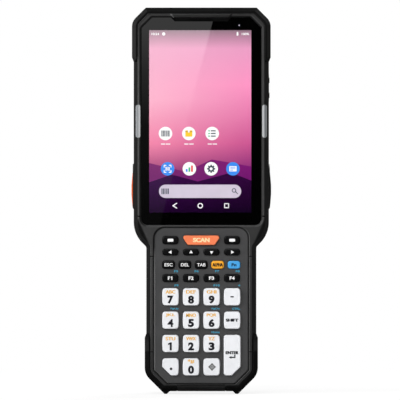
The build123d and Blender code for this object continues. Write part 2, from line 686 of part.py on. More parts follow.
def key_switches():
    """Metal domes under the keys and tact switches behind the side controls."""
    domes = []
    for name, _, x, z in key_plan():
        if name == "enter":
            z += ROW_PITCH / 2
        domes.append(rod(DOME_RADIUS, x, z, KEY_BOARD_Y - DOME_HEIGHT, KEY_BOARD_Y))
    tip = CAVITY_HALF - FIT - TRIGGER_FLANGE_THICKNESS - TRIGGER_TRAVEL - KEY_REST_GAP
    switches = []
    for side, z in side_switch_places():
        inner, outer = sorted([side * (tip - SWITCH_LENGTH), side * tip])
        switches.append(block(inner, outer, BOARD_BACK_Y, BOARD_BACK_Y + SWITCH_HEIGHT,
                              z - SWITCH_WIDTH / 2, z + SWITCH_WIDTH / 2))
    return loose(domes + switches)


def side_switch_places():
    spread = ROCKER_BUMP_SPACING / 2
    return [(-1, TRIGGER_Z), (1, TRIGGER_Z), (1, ROCKER_Z - spread), (1, ROCKER_Z + spread)]


# ---------------------------------------------------------------- housings
def bumper_cuts():
    """What the two bumpers take away from the housings."""
    head = block(-FAR, FAR, -FAR, FAR, BUMPER_CUT_Z, TOP_Z + FAR)
    head -= slab(head_inner_outline(), -FAR, FAR)
    base = block(-FAR, FAR, -FAR, FAR, -FAR, BASE_BUMPER_CUT_Z)
    base -= slab(base_inner_outline(), -FAR, FAR)
    return head, base


def screw_places():
    """x, z and the depth of the head seat for each housing screw."""
    seats = []
    for side in (-1, 1):
        seats.append((side * HEAD_SCREW_X, TOP_Z - HEAD_SCREW_BELOW_TOP, HEAD_BACK_Y - SCREW_RECESS))
        seats.append((side * HEAD_SCREW_X, GLASS_BOTTOM + HEAD_SCREW_ABOVE_GLASS, HEAD_BACK_Y - SCREW_RECESS))
        seats.append((side * BASE_SCREW_X, BASE_SCREW_Z, HANDLE_BACK_Y - SCREW_RECESS))
    return seats


def front_block():
    """Outer form of the front housing, before anything is cut from it."""
    outline = body_outline()
    form = slab(outline, RIM_Y + BEVEL_RISE, SPLIT_Y)
    return form + taper(outline, RIM_Y + BEVEL_RISE, RIM_Y, BEVEL)


def glass_recess():
    """Recess for the touch window and the slope that leads down to it."""
    recess = shrink(glass_recess_outline(), -FIT)
    return [slab(recess, FRONT_Y - THROUGH, GLASS_BACK_Y),
            taper(shrink(recess, -RIM_CHAMFER), RIM_Y, GLASS_Y, RIM_CHAMFER)]


def light_pipe_slots():
    """Slots in the rim on both sides of the screen."""
    middle = HEAD_INNER_HALF - CORNER_EASE
    half = LIGHT_PIPE_WIDTH / 2
    outline = rectangle(middle - half, middle + half, GLASS_MIDDLE - LIGHT_PIPE_LENGTH / 2,
                        GLASS_MIDDLE + LIGHT_PIPE_LENGTH / 2, half - FIT)
    return pair(slab(outline, FRONT_Y - THROUGH, RIM_Y + LIGHT_PIPE_DEPTH))


def light_pipes():
    """Clear bars that fill the slots flush with the rim."""
    form = front_block()
    return loose([(form & slot) - glass_recess() for slot in light_pipe_slots()])


def trigger_frame():
    """Raised surround on the right hand side wall."""
    outline = side_outline(TRIGGER_Y, FRAME_Z, FRAME_HEIGHT, FRAME_LENGTH)
    top = BODY_HALF + FRAME_PROUD
    return slab(outline, BODY_HALF - WALL, BODY_HALF, "x") + taper(outline, BODY_HALF, top, FRAME_PROUD, "x")


def side_windows():
    """Openings for the triggers and the volume rocker."""
    trigger_hole = shrink(side_outline(TRIGGER_Y, TRIGGER_Z, TRIGGER_HEIGHT, TRIGGER_LENGTH), -RUN)
    rocker_hole = shrink(side_outline(TRIGGER_Y, ROCKER_Z, ROCKER_HEIGHT, ROCKER_LENGTH), -2 * RUN)
    inside = CAVITY_HALF - THROUGH
    return pair(slab(trigger_hole, inside, FAR, "x")) + [slab(rocker_hole, inside, FAR, "x")]


def cover_relief():
    """Room for the hinge barrel and the pin ends of the port cover."""
    half = COVER_WIDTH / 2 + RUN
    end = half + COVER_PIN_LENGTH
    return [rod(COVER_HINGE_RADIUS + RUN, COVER_HINGE_Y, COVER_HINGE_Z, -half, half, "x"),
            rod(COVER_PIN_RADIUS + RUN / 2, COVER_HINGE_Y, COVER_HINGE_Z, -end, end, "x")]


def rim_seams():
    """Small seam marks across the rim, on both sides."""
    spans = [(GLASS_BOTTOM + HEAD_SEAM_UP, GLASS_HALF, HEAD_INNER_HALF),
             (BEZEL_TOP - HANDLE_SEAM_DOWN, BEZEL_HALF, HANDLE_HALF)]
    marks = []
    for z, x0, x1 in spans:
        marks += pair(block(x0, x1, FRONT_Y, RIM_Y + RIM_SEAM, z - RIM_SEAM / 2, z + RIM_SEAM / 2))
    return marks


def front_housing():
    """Front half of the shell: glass recess, keypad recess, side windows."""
    bosses = [(x, z) for x, z, _ in screw_places() if z < BEZEL_TOP]
    shell = front_block() + pair(trigger_frame())
    shell -= bumper_cuts()
    shell -= slab(cavity_outline(), CAVITY_Y, SPLIT_Y + THROUGH)
    shell += [rod(SCREW_RADIUS + BOSS_WALL, x, z, CAVITY_Y, SPLIT_Y) for x, z in bosses]

    # brow over the earpiece
    brow_half = BROW_HALF_WIDTH + BROW_LIP
    brow = both_sides([(brow_half, GLASS_TOP - BROW_OVERHANG, CORNER_EASE),
                       (brow_half + BROW_SLOPE, HEAD_INNER_TOP - BROW_DROP, CORNER_EASE)])
    brow_face = FRONT_Y + BROW_SET_BACK

    display = rectangle(-DISPLAY_HALF, DISPLAY_HALF, DISPLAY_BOTTOM, DISPLAY_TOP)
    slot_top = GLASS_TOP - CORNER_EASE
    cuts = glass_recess() + light_pipe_slots() + side_windows() + cover_relief() + rim_seams()
    cuts += [
        slab(shrink(display, -FIT), GLASS_BACK_Y - THROUGH, CAVITY_Y + THROUGH),
        slab(shrink(bezel_outline(), -BEZEL_GROOVE), FRONT_Y - THROUGH, BEZEL_BACK_Y),
        slab(shrink(bezel_outline(), BEZEL_LEDGE), BEZEL_BACK_Y - THROUGH, CAVITY_Y + THROUGH),
        block(-EARPIECE_WIDTH / 2, EARPIECE_WIDTH / 2, GLASS_BACK_Y - THROUGH, CAVITY_Y + THROUGH,
              slot_top - EARPIECE_SLOT, slot_top),
        slab(shrink(usb_outline(), -FIT), BASE_INNER_Z - THROUGH, CAVITY_BOTTOM + THROUGH, "z"),
    ]
    cuts += [rod(SCREW_RADIUS + SCREW_HOLE_GAP, x, z, CAVITY_Y + BOSS_WALL, SPLIT_Y + THROUGH)
             for x, z in bosses]
    shell = shell - cuts + slab(brow, RIM_Y, GLASS_BACK_Y)
    return shell + taper(brow, RIM_Y, brow_face, RIM_Y - brow_face)


def camera_pad_outline():
    return rectangle(-CAMERA_PAD_WIDTH / 2, CAMERA_PAD_WIDTH / 2, CAMERA_Z - CAMERA_PAD_HEIGHT / 2,
                     CAMERA_Z + CAMERA_PAD_HEIGHT / 2, CAMERA_PAD_CORNER)


def rear_form():
    """Outer form of the rear housing: grip, head, scanner hump and camera pad."""
    outline = body_outline()
    form = slab(outline, SPLIT_Y, HANDLE_BACK_Y - BEVEL_RISE)
    form += taper(outline, HANDLE_BACK_Y - BEVEL_RISE, HANDLE_BACK_Y, BEVEL)
    head_chamfer = HEAD_CHAMFER - CHAMFER_LOSS * HEAD_BUMPER_STEP
    head = both_sides([
        (BODY_HALF, HEAD_BLOCK_Z, LARGE_ROUND),
        (BODY_HALF, BODY_TOP - head_chamfer, HEAD_CORNER_RADIUS - HEAD_BUMPER_STEP),
        (BODY_HALF - head_chamfer, BODY_TOP, CORNER_EASE),
    ])
    form += slab(head, SPLIT_Y, HEAD_BACK_Y - HEAD_BACK_RISE)
    form += taper(head, HEAD_BACK_Y - HEAD_BACK_RISE, HEAD_BACK_Y, HEAD_BACK_BEVEL)
    hump = rectangle(-HUMP_WIDTH / 2, HUMP_WIDTH / 2, HEAD_INNER_TOP - HUMP_HEIGHT,
                     HEAD_INNER_TOP + WALL, HUMP_CORNER)
    form += slab(hump, HEAD_BACK_Y - HEAD_BACK_RISE, HUMP_BACK_Y - HEAD_BACK_RISE)
    form += taper(hump, HUMP_BACK_Y - HEAD_BACK_RISE, HUMP_BACK_Y, HEAD_BACK_BEVEL)
    form -= bumper_cuts()
    pad = camera_pad_outline()
    bevel = CAMERA_PAD_DEPTH / 2
    form += slab(pad, HEAD_BACK_Y - THROUGH, HEAD_BACK_Y + bevel)
    return form + taper(pad, HEAD_BACK_Y + bevel, HEAD_BACK_Y + CAMERA_PAD_DEPTH, bevel)


def rear_room():
    """Space inside the head and inside the scanner hump."""
    inner = head_inner_outline(HEAD_BUMPER_WALL + WALL, HEAD_BLOCK_Z + 2 * WALL)
    half = HUMP_WIDTH / 2 - 1.5 * WALL
    hump = rectangle(-half, half, HEAD_INNER_TOP - HUMP_HEIGHT + 1.5 * WALL, CAVITY_TOP, LARGE_ROUND)
    return [slab(inner, SPLIT_Y - THROUGH, HEAD_CAVITY_BACK_Y),
            slab(hump, HEAD_CAVITY_BACK_Y - THROUGH, HUMP_CAVITY_BACK_Y)]


def rear_bosses():
    """Insert bosses, screw bosses and the tub that carries the latch."""
    bosses = []
    for side in (-1, 1):
        bosses.append(rod(INSERT_RADIUS + BOSS_WALL, side * INSERT_SPACING / 2, INSERT_Z,
                          HEAD_BACK_Y - INSERT_LENGTH - BOSS_WALL / 2, HEAD_BACK_Y - THROUGH))
    for x, z, _ in screw_places():
        if z > BEZEL_TOP:
            bosses.append(rod(SCREW_HEAD_RADIUS + SCREW_HEAD_WALL, x, z, SPLIT_Y, HEAD_BACK_Y - THROUGH))
    half = LATCH_WIDTH / 2 + WALL
    top = LATCH_Z + LATCH_HEIGHT + LATCH_TRAVEL + RUN + WALL
    bosses.append(block(-half, half, LATCH_Y - RUN - WALL, HEAD_BACK_Y - THROUGH, HEAD_BLOCK_Z + WALL, top))
    return bosses


def battery_bay():
    """Bay for the plug of the battery, with sockets for its two hinge lugs."""
    half = BATTERY_PLUG_WIDTH / 2 + BAY_CLEARANCE
    back = HANDLE_BACK_Y + THROUGH
    cuts = [slab(rectangle(-half, half, BAY_BOTTOM, BAY_TOP, LARGE_ROUND), BAY_FLOOR_Y, back)]
    for side in (-1, 1):
        left = side * HINGE_LUG_X - HINGE_LUG_LENGTH / 2 - RUN
        right = side * HINGE_LUG_X + HINGE_LUG_LENGTH / 2 + RUN
        cuts.append(rod(HINGE_LUG_RADIUS + HINGE_LUG_GAP, HINGE_Y, HINGE_Z, left, right, "x"))
        cuts.append(block(left, right, HINGE_Y, back, HINGE_Z - 2 * HINGE_LUG_RADIUS, BAY_BOTTOM + FIT))
    return cuts


def latch_recess():
    """Slide bed for the latch, open towards the battery."""
    half = LATCH_WIDTH / 2 + RUN
    nose = LATCH_NOSE_WIDTH / 2 + RUN
    bed, back = LATCH_Y - RUN, HEAD_BACK_Y + THROUGH
    return [block(-half, half, bed, back, LATCH_Z - RUN, LATCH_Z + LATCH_HEIGHT + LATCH_TRAVEL + RUN),
            block(-nose, nose, bed, back, HEAD_BLOCK_Z - THROUGH, LATCH_Z)]


def camera_holes():
    """Glass recess, lens hole and flash hole in the camera pad."""
    recess = shrink(shrink(camera_pad_outline(), CAMERA_PAD_RIM), -FIT)
    back = HEAD_BACK_Y + CAMERA_PAD_DEPTH
    inside, outside = HEAD_CAVITY_BACK_Y - THROUGH, HEAD_BACK_Y + THROUGH
    return [slab(recess, back - CAMERA_GLASS_THICKNESS, back + THROUGH),
            rod(LENS_RADIUS + RUN, 0, CAMERA_Z, inside, outside),
            rod(FLASH_RADIUS + RUN, FLASH_OFFSET, CAMERA_Z, inside, outside)]


def grille_slots():
    slots = []
    half, tall = GRILLE_SLOT_WIDTH / 2, GRILLE_SLOT_HEIGHT / 2
    for i in range(GRILLE_SLOTS):
        z = SPEAKER_Z + (i - (GRILLE_SLOTS - 1) / 2) * GRILLE_PITCH
        outline = rectangle(-half, half, z - tall, z + tall, tall - SLOT_END_FLAT)
        slots.append(slab(outline, HEAD_CAVITY_BACK_Y - THROUGH, HEAD_BACK_Y + THROUGH))
    return slots


def rear_fixing_holes():
    """Holes for inserts, screws, battery pins and cradle contacts."""
    holes = []
    for side in (-1, 1):
        holes.append(rod(INSERT_RADIUS, side * INSERT_SPACING / 2, INSERT_Z,
                         HEAD_BACK_Y - INSERT_LENGTH, HEAD_BACK_Y + THROUGH))
    for x, z, seat in screw_places():
        holes.append(rod(SCREW_HEAD_RADIUS + 2 * SCREW_HOLE_GAP, x, z, seat, seat + SCREW_RECESS + THROUGH))
        holes.append(rod(SCREW_RADIUS + SCREW_HOLE_GAP, x, z, SPLIT_Y - THROUGH, seat + THROUGH))
    for x in battery_contact_places():
        holes.append(rod(CONTACT_RADIUS, x, BATTERY_CONTACT_Z, SPLIT_Y - THROUGH, BAY_FLOOR_Y + THROUGH))
    for x in cradle_contact_places():
        holes.append(rod(CRADLE_CONTACT_RADIUS, x, BASE_SCREW_Z, HANDLE_BACK_Y - CRADLE_CONTACT_LENGTH,
                         HANDLE_BACK_Y + THROUGH))
    return holes


def rear_housing():
    """Rear half of the shell, with the battery bay in the grip."""
    shell = rear_form() - rear_room() + rear_bosses()
    window = slab(shrink(scan_window_outline(), -FIT), CAVITY_TOP - THROUGH, TOP_Z, "z")
    cuts = battery_bay() + latch_recess() + camera_holes() + grille_slots() + rear_fixing_holes()
    return shell - (cuts + [window])


def scan_window_outline():
    front = SPLIT_Y + SCAN_WINDOW_SET_BACK
    return rectangle(-SCAN_WINDOW_WIDTH / 2, SCAN_WINDOW_WIDTH / 2, front, front + SCAN_WINDOW_DEPTH,
                     SMALL_ROUND)


def usb_outline():
    half = USB_WIDTH / 2
    return rectangle(-half, half, KEY_BOARD_BACK_Y, KEY_BOARD_BACK_Y + USB_THICKNESS,
                     USB_THICKNESS / 2 - FIT)


def battery_contact_places():
    return [(i - 1.5) * CONTACT_PITCH for i in range(4)]


def cradle_contact_places():
    return [(i - 2) * CRADLE_CONTACT_PITCH for i in range(5)]


# ---------------------------------------------------------------- bumpers
def head_bumper():
    """Rubber band over the top end, bevelled front and back."""
    outline = head_outline()
    band = slab(outline, FRONT_Y + BUMPER_BEVEL_RISE, HEAD_BACK_Y - BUMPER_BEVEL_RISE)
    band += taper(outline, FRONT_Y + BUMPER_BEVEL_RISE, FRONT_Y, BUMPER_BEVEL)
    band += taper(outline, HEAD_BACK_Y - BUMPER_BEVEL_RISE, HEAD_BACK_Y, BUMPER_BEVEL)
    low, high = HEAD_INNER_TOP - THROUGH, TOP_Z + THROUGH
    half = SCAN_WINDOW_WIDTH / 2 + WALL
    return band - [
        slab(head_inner_outline(), -FAR, FAR),
        slab(shrink(scan_window_outline(), -WALL), low, high, "z"),
        block(-half, half, SPLIT_Y + WALL, HEAD_BACK_Y + THROUGH, low, high),
    ]


def base_bumper():
    """Rubber shoe round the lower end, with two feet and a gap for the port cover."""
    outline = base_outline()
    back = HANDLE_BACK_Y + BASE_BUMPER_LIP
    shoe = slab(outline, FRONT_Y + BUMPER_BEVEL_RISE, back - BUMPER_BEVEL_RISE)
    shoe += taper(outline, FRONT_Y + BUMPER_BEVEL_RISE, FRONT_Y, BUMPER_BEVEL)
    shoe += taper(outline, back - BUMPER_BEVEL_RISE, back, BUMPER_BEVEL)
    shoe -= slab(base_inner_outline(), -FAR, FAR)
    outer = BASE_HALF - BASE_CHAMFER - BASE_Z
    top = FOOT_HEIGHT + FOOT_ROOT
    foot = [(outer - FOOT_WIDTH, 0.0, CORNER_EASE), (outer, 0.0, CORNER_EASE),
            (outer + top, top, 0.0), (outer - FOOT_WIDTH - top, top, 0.0)]
    shoe += pair(slab(foot, FRONT_Y + BUMPER_BEVEL_RISE, back - BUMPER_BEVEL_RISE))
    half = COVER_WIDTH / 2 + RUN
    gap = block(-half, half, FRONT_Y - THROUGH, FRONT_Y + COVER_DEPTH + RUN, 0, BASE_INNER_Z + THROUGH)
    return shoe - [gap, cover_relief()[1]]


def port_cover():
    """Flap under the base that closes the connector; it hinges at its front upper edge."""
    half = COVER_WIDTH / 2
    profile = [
        (FRONT_Y, COVER_HINGE_Z - RUN, CORNER_EASE),
        (FRONT_Y + BUMPER_BEVEL_RISE, BASE_Z, CORNER_EASE),
        (FRONT_Y + COVER_DEPTH, BASE_Z, CORNER_EASE),
        (FRONT_Y + COVER_DEPTH, BASE_INNER_Z - RUN, CORNER_EASE),
        (COVER_HINGE_Y + RUN, BASE_INNER_Z - RUN, CORNER_EASE),
        (COVER_HINGE_Y, COVER_HINGE_Z, 0.0),
    ]
    flap = slab(profile, -half, half, "x")
    flap += rod(COVER_HINGE_RADIUS, COVER_HINGE_Y, COVER_HINGE_Z, -half, half, "x")
    pin = half + COVER_PIN_LENGTH
    return flap + rod(COVER_PIN_RADIUS, COVER_HINGE_Y, COVER_HINGE_Z, -pin, pin, "x")


# ---------------------------------------------------------------- screen, side controls
def touch_window():
    outline = both_sides([
        (GLASS_HALF, GLASS_BOTTOM, GLASS_BOTTOM_RADIUS),
        (GLASS_HALF, GLASS_TOP - GLASS_CHAMFER, GLASS_CORNER),
        (GLASS_HALF - GLASS_CHAMFER, GLASS_TOP, SMALL_ROUND),
        (BROW_HALF_WIDTH + BROW_SLOPE, GLASS_TOP, CORNER_EASE),
        (BROW_HALF_WIDTH, GLASS_TOP - BROW_SLOT, CORNER_EASE),
    ])
    return slab(outline, GLASS_Y, GLASS_BACK_Y)


def display_module():
    outline = rectangle(-DISPLAY_HALF, DISPLAY_HALF, DISPLAY_BOTTOM, DISPLAY_TOP)
    return slab(outline, GLASS_BACK_Y, DISPLAY_BACK_Y)


def trigger():
    """Right hand trigger: a round-ended paddle, highest at its middle, with an inner flange."""
    outline = side_outline(TRIGGER_Y, TRIGGER_Z, TRIGGER_HEIGHT, TRIGGER_LENGTH)
    top = BODY_HALF + TRIGGER_PROUD
    flange_x = CAVITY_HALF - FIT - TRIGGER_FLANGE_THICKNESS
    cap = slab(outline, flange_x, top, "x")
    half = TRIGGER_LENGTH / 2
    root, shoulder = flange_x - THROUGH, top - TRIGGER_SLOPE
    crown = [(root, TRIGGER_Z - half, 0.0), (shoulder, TRIGGER_Z - half, CORNER_EASE),
             (top, TRIGGER_Z - half / 4, TRIGGER_CROWN_RADIUS),
             (top, TRIGGER_Z + half / 4, TRIGGER_CROWN_RADIUS),
             (shoulder, TRIGGER_Z + half, CORNER_EASE), (root, TRIGGER_Z + half, 0.0)]
    cap &= slab(crown, TRIGGER_Y - TRIGGER_HEIGHT, TRIGGER_Y + TRIGGER_HEIGHT)
    wide = shrink(outline, -TRIGGER_FLANGE)
    return cap + slab(wide, flange_x, flange_x + TRIGGER_FLANGE_THICKNESS, "x")


def volume_rocker():
    """Two-bump rocker that tilts on the round bar across the back of its flange."""
    outline = side_outline(TRIGGER_Y, ROCKER_Z, ROCKER_HEIGHT, ROCKER_LENGTH)
    flange_x = CAVITY_HALF - FIT - TRIGGER_FLANGE_THICKNESS - CORNER_EASE
    cap = slab(outline, flange_x, BODY_HALF + ROCKER_PROUD - CORNER_EASE, "x")
    cap += taper(outline, BODY_HALF + ROCKER_PROUD - CORNER_EASE, BODY_HALF + ROCKER_PROUD,
                 CORNER_EASE, "x")
    for z in (ROCKER_Z - ROCKER_BUMP_SPACING / 2, ROCKER_Z + ROCKER_BUMP_SPACING / 2):
        bump = side_outline(TRIGGER_Y, z, ROCKER_HEIGHT / 2, 0.7 * ROCKER_HEIGHT)
        cap += taper(bump, BODY_HALF + ROCKER_PROUD - CORNER_EASE,
                     BODY_HALF + ROCKER_PROUD + ROCKER_BUMP, ROCKER_BUMP, "x")
    wide = shrink(outline, -TRIGGER_FLANGE)
    half = ROCKER_HEIGHT / 2 + TRIGGER_FLANGE
    pivot = rod(ROCKER_PIVOT_RADIUS, flange_x + TRIGGER_FLANGE_THICKNESS / 2, ROCKER_Z,
                TRIGGER_Y - half, TRIGGER_Y + half)
    return cap + slab(wide, flange_x, flange_x + TRIGGER_FLANGE_THICKNESS, "x") + pivot


# ---------------------------------------------------------------- inside the head
def chassis():
    """Cast frame behind the display, with standoffs for the board and screw bosses."""
    half = CAVITY_HALF - CHASSIS_GAP
    outline = rectangle(-half, half, GLASS_BOTTOM + WALL, DISPLAY_TOP, LARGE_ROUND)
    frame = slab(outline, CHASSIS_Y, CHASSIS_BACK_Y)
    relief = CAVITY_HALF - TRIGGER_FLANGE_THICKNESS - TRIGGER_TRAVEL - 3 * RUN
    reach = TRIGGER_LENGTH / 2 + TRIGGER_FLANGE + 2 * RUN
    front, back = CHASSIS_Y - THROUGH, CHASSIS_BACK_Y + THROUGH
    cuts = pair(block(relief, FAR, front, back, TRIGGER_Z - reach, TRIGGER_Z + reach))
    reach = ROCKER_LENGTH / 2 + TRIGGER_FLANGE + 2 * RUN
    cuts.append(block(relief, FAR, front, back, ROCKER_Z - reach, ROCKER_Z + reach))
    frame -= cuts
    bosses = []
    for i in range(3):
        z = BOARD_LOW + STANDOFF_RADIUS + i * (BOARD_HEIGHT / 2 - STANDOFF_RADIUS)
        bosses += pair(rod(STANDOFF_RADIUS, BOARD_WIDTH / 2 - STANDOFF_RADIUS, z, CHASSIS_Y, BOARD_Y))
    places = [(x, z) for x, z, _ in screw_places() if z > BEZEL_TOP]
    bosses += [rod(SCREW_RADIUS + BOSS_WALL, x, z, CHASSIS_Y, SPLIT_Y - CHASSIS_GAP) for x, z in places]
    holes = [rod(SCREW_RADIUS + SCREW_HOLE_GAP, x, z, CHASSIS_BACK_Y, SPLIT_Y) for x, z in places]
    return frame + bosses - holes


def main_board():
    half = BOARD_WIDTH / 2
    outline = rectangle(-half, half, BOARD_LOW, BOARD_LOW + BOARD_HEIGHT, SMALL_ROUND)
    return slab(outline, BOARD_Y, BOARD_BACK_Y)


def board_components():
    """Shield cans, memory, connectors and the radio module on the back of the board."""
    chips = []
    for across, up, width, height, thickness in BOARD_PLAN:
        x, z = across * BOARD_WIDTH, BOARD_LOW + up * BOARD_HEIGHT
        outline = rectangle(x - width / 2, x + width / 2, z - height / 2, z + height / 2)
        chips.append(slab(outline, BOARD_BACK_Y, BOARD_BACK_Y + thickness))
    return loose(chips)


def scan_engine():
    """Imager block that looks out through the top window."""
    half = SCAN_ENGINE_WIDTH / 2
    top = CAVITY_TOP - SCAN_ENGINE_GAP
    front = SPLIT_Y - WALL
    back = HUMP_CAVITY_BACK_Y - CHASSIS_GAP
    root = top - SCAN_BARREL_LENGTH
    body = block(-half, half, front, back, top - SCAN_ENGINE_HEIGHT, root)
    lens_y = SPLIT_Y + SCAN_WINDOW_SET_BACK + SCAN_WINDOW_DEPTH / 2
    return body + [rod(SCAN_LENS_RADIUS, -half / 2, lens_y, root - THROUGH, top, "z"),
                   rod(SCAN_AIMER_RADIUS, half / 2, lens_y, root - THROUGH, top, "z")]


def scan_window():
    low = HEAD_INNER_TOP - WALL + FIT
    return slab(scan_window_outline(), low, low + SCAN_WINDOW_THICKNESS, "z")


def rear_camera():
    half = LENS_RADIUS + SMALL_ROUND
    seat = HEAD_CAVITY_BACK_Y - FIT
    body = block(-half, half, seat - CAMERA_LENGTH, seat, CAMERA_Z - half, CAMERA_Z + half)
    tip = HEAD_BACK_Y + CAMERA_PAD_DEPTH - CAMERA_GLASS_THICKNESS - CAMERA_LENS_GAP
    lens = body + rod(LENS_RADIUS, 0, CAMERA_Z, seat - THROUGH, tip)
    flash = rod(FLASH_RADIUS, FLASH_OFFSET, CAMERA_Z, seat - CORNER_EASE, tip)
    return loose([lens, flash])


def camera_window():
    back = HEAD_BACK_Y + CAMERA_PAD_DEPTH
    return slab(shrink(camera_pad_outline(), CAMERA_PAD_RIM), back - CAMERA_GLASS_THICKNESS, back)


def speakers():
    """Loudspeaker behind the grille and earpiece behind the brow slot."""
    half = SPEAKER_WIDTH / 2
    loud = block(-half, half, HEAD_CAVITY_BACK_Y - FIT - SPEAKER_THICKNESS, HEAD_CAVITY_BACK_Y - FIT,
                 SPEAKER_Z - SPEAKER_HEIGHT / 2, SPEAKER_Z + SPEAKER_HEIGHT / 2)
    half = EARPIECE_WIDTH / 2
    ear = block(-half, half, CAVITY_Y + FIT, CAVITY_Y + FIT + EARPIECE_THICKNESS,
                DISPLAY_TOP + EARPIECE_GAP, CAVITY_TOP - FIT)
    return loose([loud, ear])


# ---------------------------------------------------------------- battery, latch, contacts
def battery_pack():
    """Pack with a plug that fills the bay, a bevelled back and two hinge lugs at its foot."""
    half = BATTERY_WIDTH / 2
    outer = rectangle(-half, half, BATTERY_BOTTOM, BATTERY_TOP, BATTERY_CORNER)
    face = HANDLE_BACK_Y + BATTERY_GAP
    pack = slab(outer, face, BACK_Y - BATTERY_BEVEL_RISE)
    pack += taper(outer, BACK_Y - BATTERY_BEVEL_RISE, BACK_Y - BATTERY_EDGE, BATTERY_BEVEL)
    pack += taper(shrink(outer, BATTERY_BEVEL), BACK_Y - BATTERY_EDGE, BACK_Y, BATTERY_EDGE)
    half = BATTERY_PLUG_WIDTH / 2
    plug = rectangle(-half, half, BAY_BOTTOM + 2 * BAY_CLEARANCE, BAY_TOP - BAY_CLEARANCE,
                     LARGE_ROUND - BAY_CLEARANCE)
    pack += slab(plug, BAY_FLOOR_Y + BAY_FLOOR_GAP, face + THROUGH)
    left, right = HINGE_LUG_X - HINGE_LUG_LENGTH / 2, HINGE_LUG_X + HINGE_LUG_LENGTH / 2
    pack += pair(rod(HINGE_LUG_RADIUS, HINGE_Y, HINGE_Z, left, right, "x"))
    field_top = BATTERY_TOP - LABEL_BELOW_TOP
    field = rectangle(-LABEL_WIDTH / 2, LABEL_WIDTH / 2, field_top - LABEL_HEIGHT, field_top, ROUND)
    pack -= slab(field, BACK_Y - LABEL_DEPTH, BACK_Y + THROUGH)
    return pack + pair(block(left, right, HINGE_Y, face + THROUGH, HINGE_Z - LUG_NECK,
                             BATTERY_BOTTOM + LUG_NECK))


def battery_latch():
    """Thumb slide above the battery; ribs across its back."""
    half = LATCH_WIDTH / 2
    slide = block(-half, half, LATCH_Y, HEAD_BACK_Y, LATCH_Z, LATCH_Z + LATCH_HEIGHT)
    nose = LATCH_NOSE_WIDTH / 2
    slide += block(-nose, nose, LATCH_Y, HEAD_BACK_Y - CORNER_EASE, BATTERY_TOP + LATCH_NOSE_GAP,
                   LATCH_Z + THROUGH)
    step = LATCH_HEIGHT / LATCH_RIBS
    root = HEAD_BACK_Y - FIT
    ribs = []
    for i in range(LATCH_RIBS):
        low = LATCH_Z + (i + 0.25) * step
        rib = [(root, low, 0.0), (HEAD_BACK_Y + LATCH_RIB, low + step / 4, FIT), (root, low + step / 2, 0.0)]
        ribs.append(slab(rib, SMALL_ROUND - half, half - SMALL_ROUND, "x"))
    return slide + ribs


def contact_pins():
    """Spring pins to the battery and the row of charging contacts for a cradle."""
    pins = [rod(CONTACT_RADIUS, x, BATTERY_CONTACT_Z, SPLIT_Y - WALL, BAY_FLOOR_Y + BAY_FLOOR_GAP / 2)
            for x in battery_contact_places()]
    pads = [rod(CRADLE_CONTACT_RADIUS, x, BASE_SCREW_Z, HANDLE_BACK_Y - CRADLE_CONTACT_LENGTH,
                HANDLE_BACK_Y + CRADLE_CONTACT_PROUD) for x in cradle_contact_places()]
    return loose(pins + pads)


def usb_socket():
    outline = usb_outline()
    low = BASE_INNER_Z + USB_SET_BACK
    shell = slab(outline, low, low + USB_LENGTH, "z")
    shell -= slab(shrink(outline, USB_WALL), low - THROUGH, low + USB_LENGTH - USB_BACK_WALL, "z")
    middle = KEY_BOARD_BACK_Y + USB_THICKNESS / 2
    return shell + block(-USB_TONGUE_HALF, USB_TONGUE_HALF, middle - USB_WALL, middle + USB_WALL,
                         low + USB_BACK_WALL, low + USB_LENGTH - USB_BACK_WALL / 2)


def housing_screws():
    screws = []
    for x, z, seat in screw_places():
        screw = rod(SCREW_HEAD_RADIUS, x, z, seat, seat + SCREW_HEAD_HEIGHT)
        screw += rod(SCREW_RADIUS, x, z, seat - SCREW_LENGTH, seat)
        top = seat + SCREW_HEAD_HEIGHT
        socket = Pos(x, top - SCREW_SOCKET_DEPTH, z) * Rotation(-90, 0, 0) * extrude(
            RegularPolygon(SCREW_HEX, 6), SCREW_SOCKET_DEPTH + THROUGH)
        screws.append(screw - socket)
    return loose(screws)


def strap_inserts():
    """Brass threaded inserts for a hand strap bracket or a pistol grip."""
    inserts = []
    for side in (-1, 1):
        x = side * INSERT_SPACING / 2
        insert = rod(INSERT_RADIUS, x, INSERT_Z, HEAD_BACK_Y - INSERT_LENGTH, HEAD_BACK_Y)
        inserts.append(insert - rod(INSERT_BORE, x, INSERT_Z, 0, HEAD_BACK_Y + THROUGH))
    return loose(inserts)


# ---------------------------------------------------------------- the assembly
def assembly():
    paddle = trigger()
    nodes = {
        "front_housing": front_housing(), "rear_housing": rear_housing(),
        "head_bumper": head_bumper(), "base_bumper": base_bumper(),
        "keypad_bezel": keypad_bezel(), "keypad_mat": keypad_mat(),
        "keypad_board": keypad_board(), "key_switches": key_switches(),
        "touch_window": touch_window(), "display_module": display_module(),
        "chassis": chassis(), "main_board": main_board(),
        "board_components": board_components(), "scan_engine": scan_engine(),
        "scan_window": scan_window(), "right_trigger": paddle,
        "left_trigger": mirror(paddle, about=Plane.YZ), "volume_rocker": volume_rocker(),
        "light_pipes": light_pipes(), "battery_pack": battery_pack(),
        "battery_latch": battery_latch(), "contact_pins": contact_pins(),
        "rear_camera": rear_camera(), "camera_window": camera_window(),
        "speakers": speakers(), "usb_socket": usb_socket(), "port_cover": port_cover(),
        "housing_screws": housing_screws(), "strap_inserts": strap_inserts(),
    }
    nodes.update(keys())
    return nodes


os.makedirs("parts", exist_ok=True)
for node_name, node_shape in assembly().items():
    export_step(node_shape, f"parts/{node_name}.step")
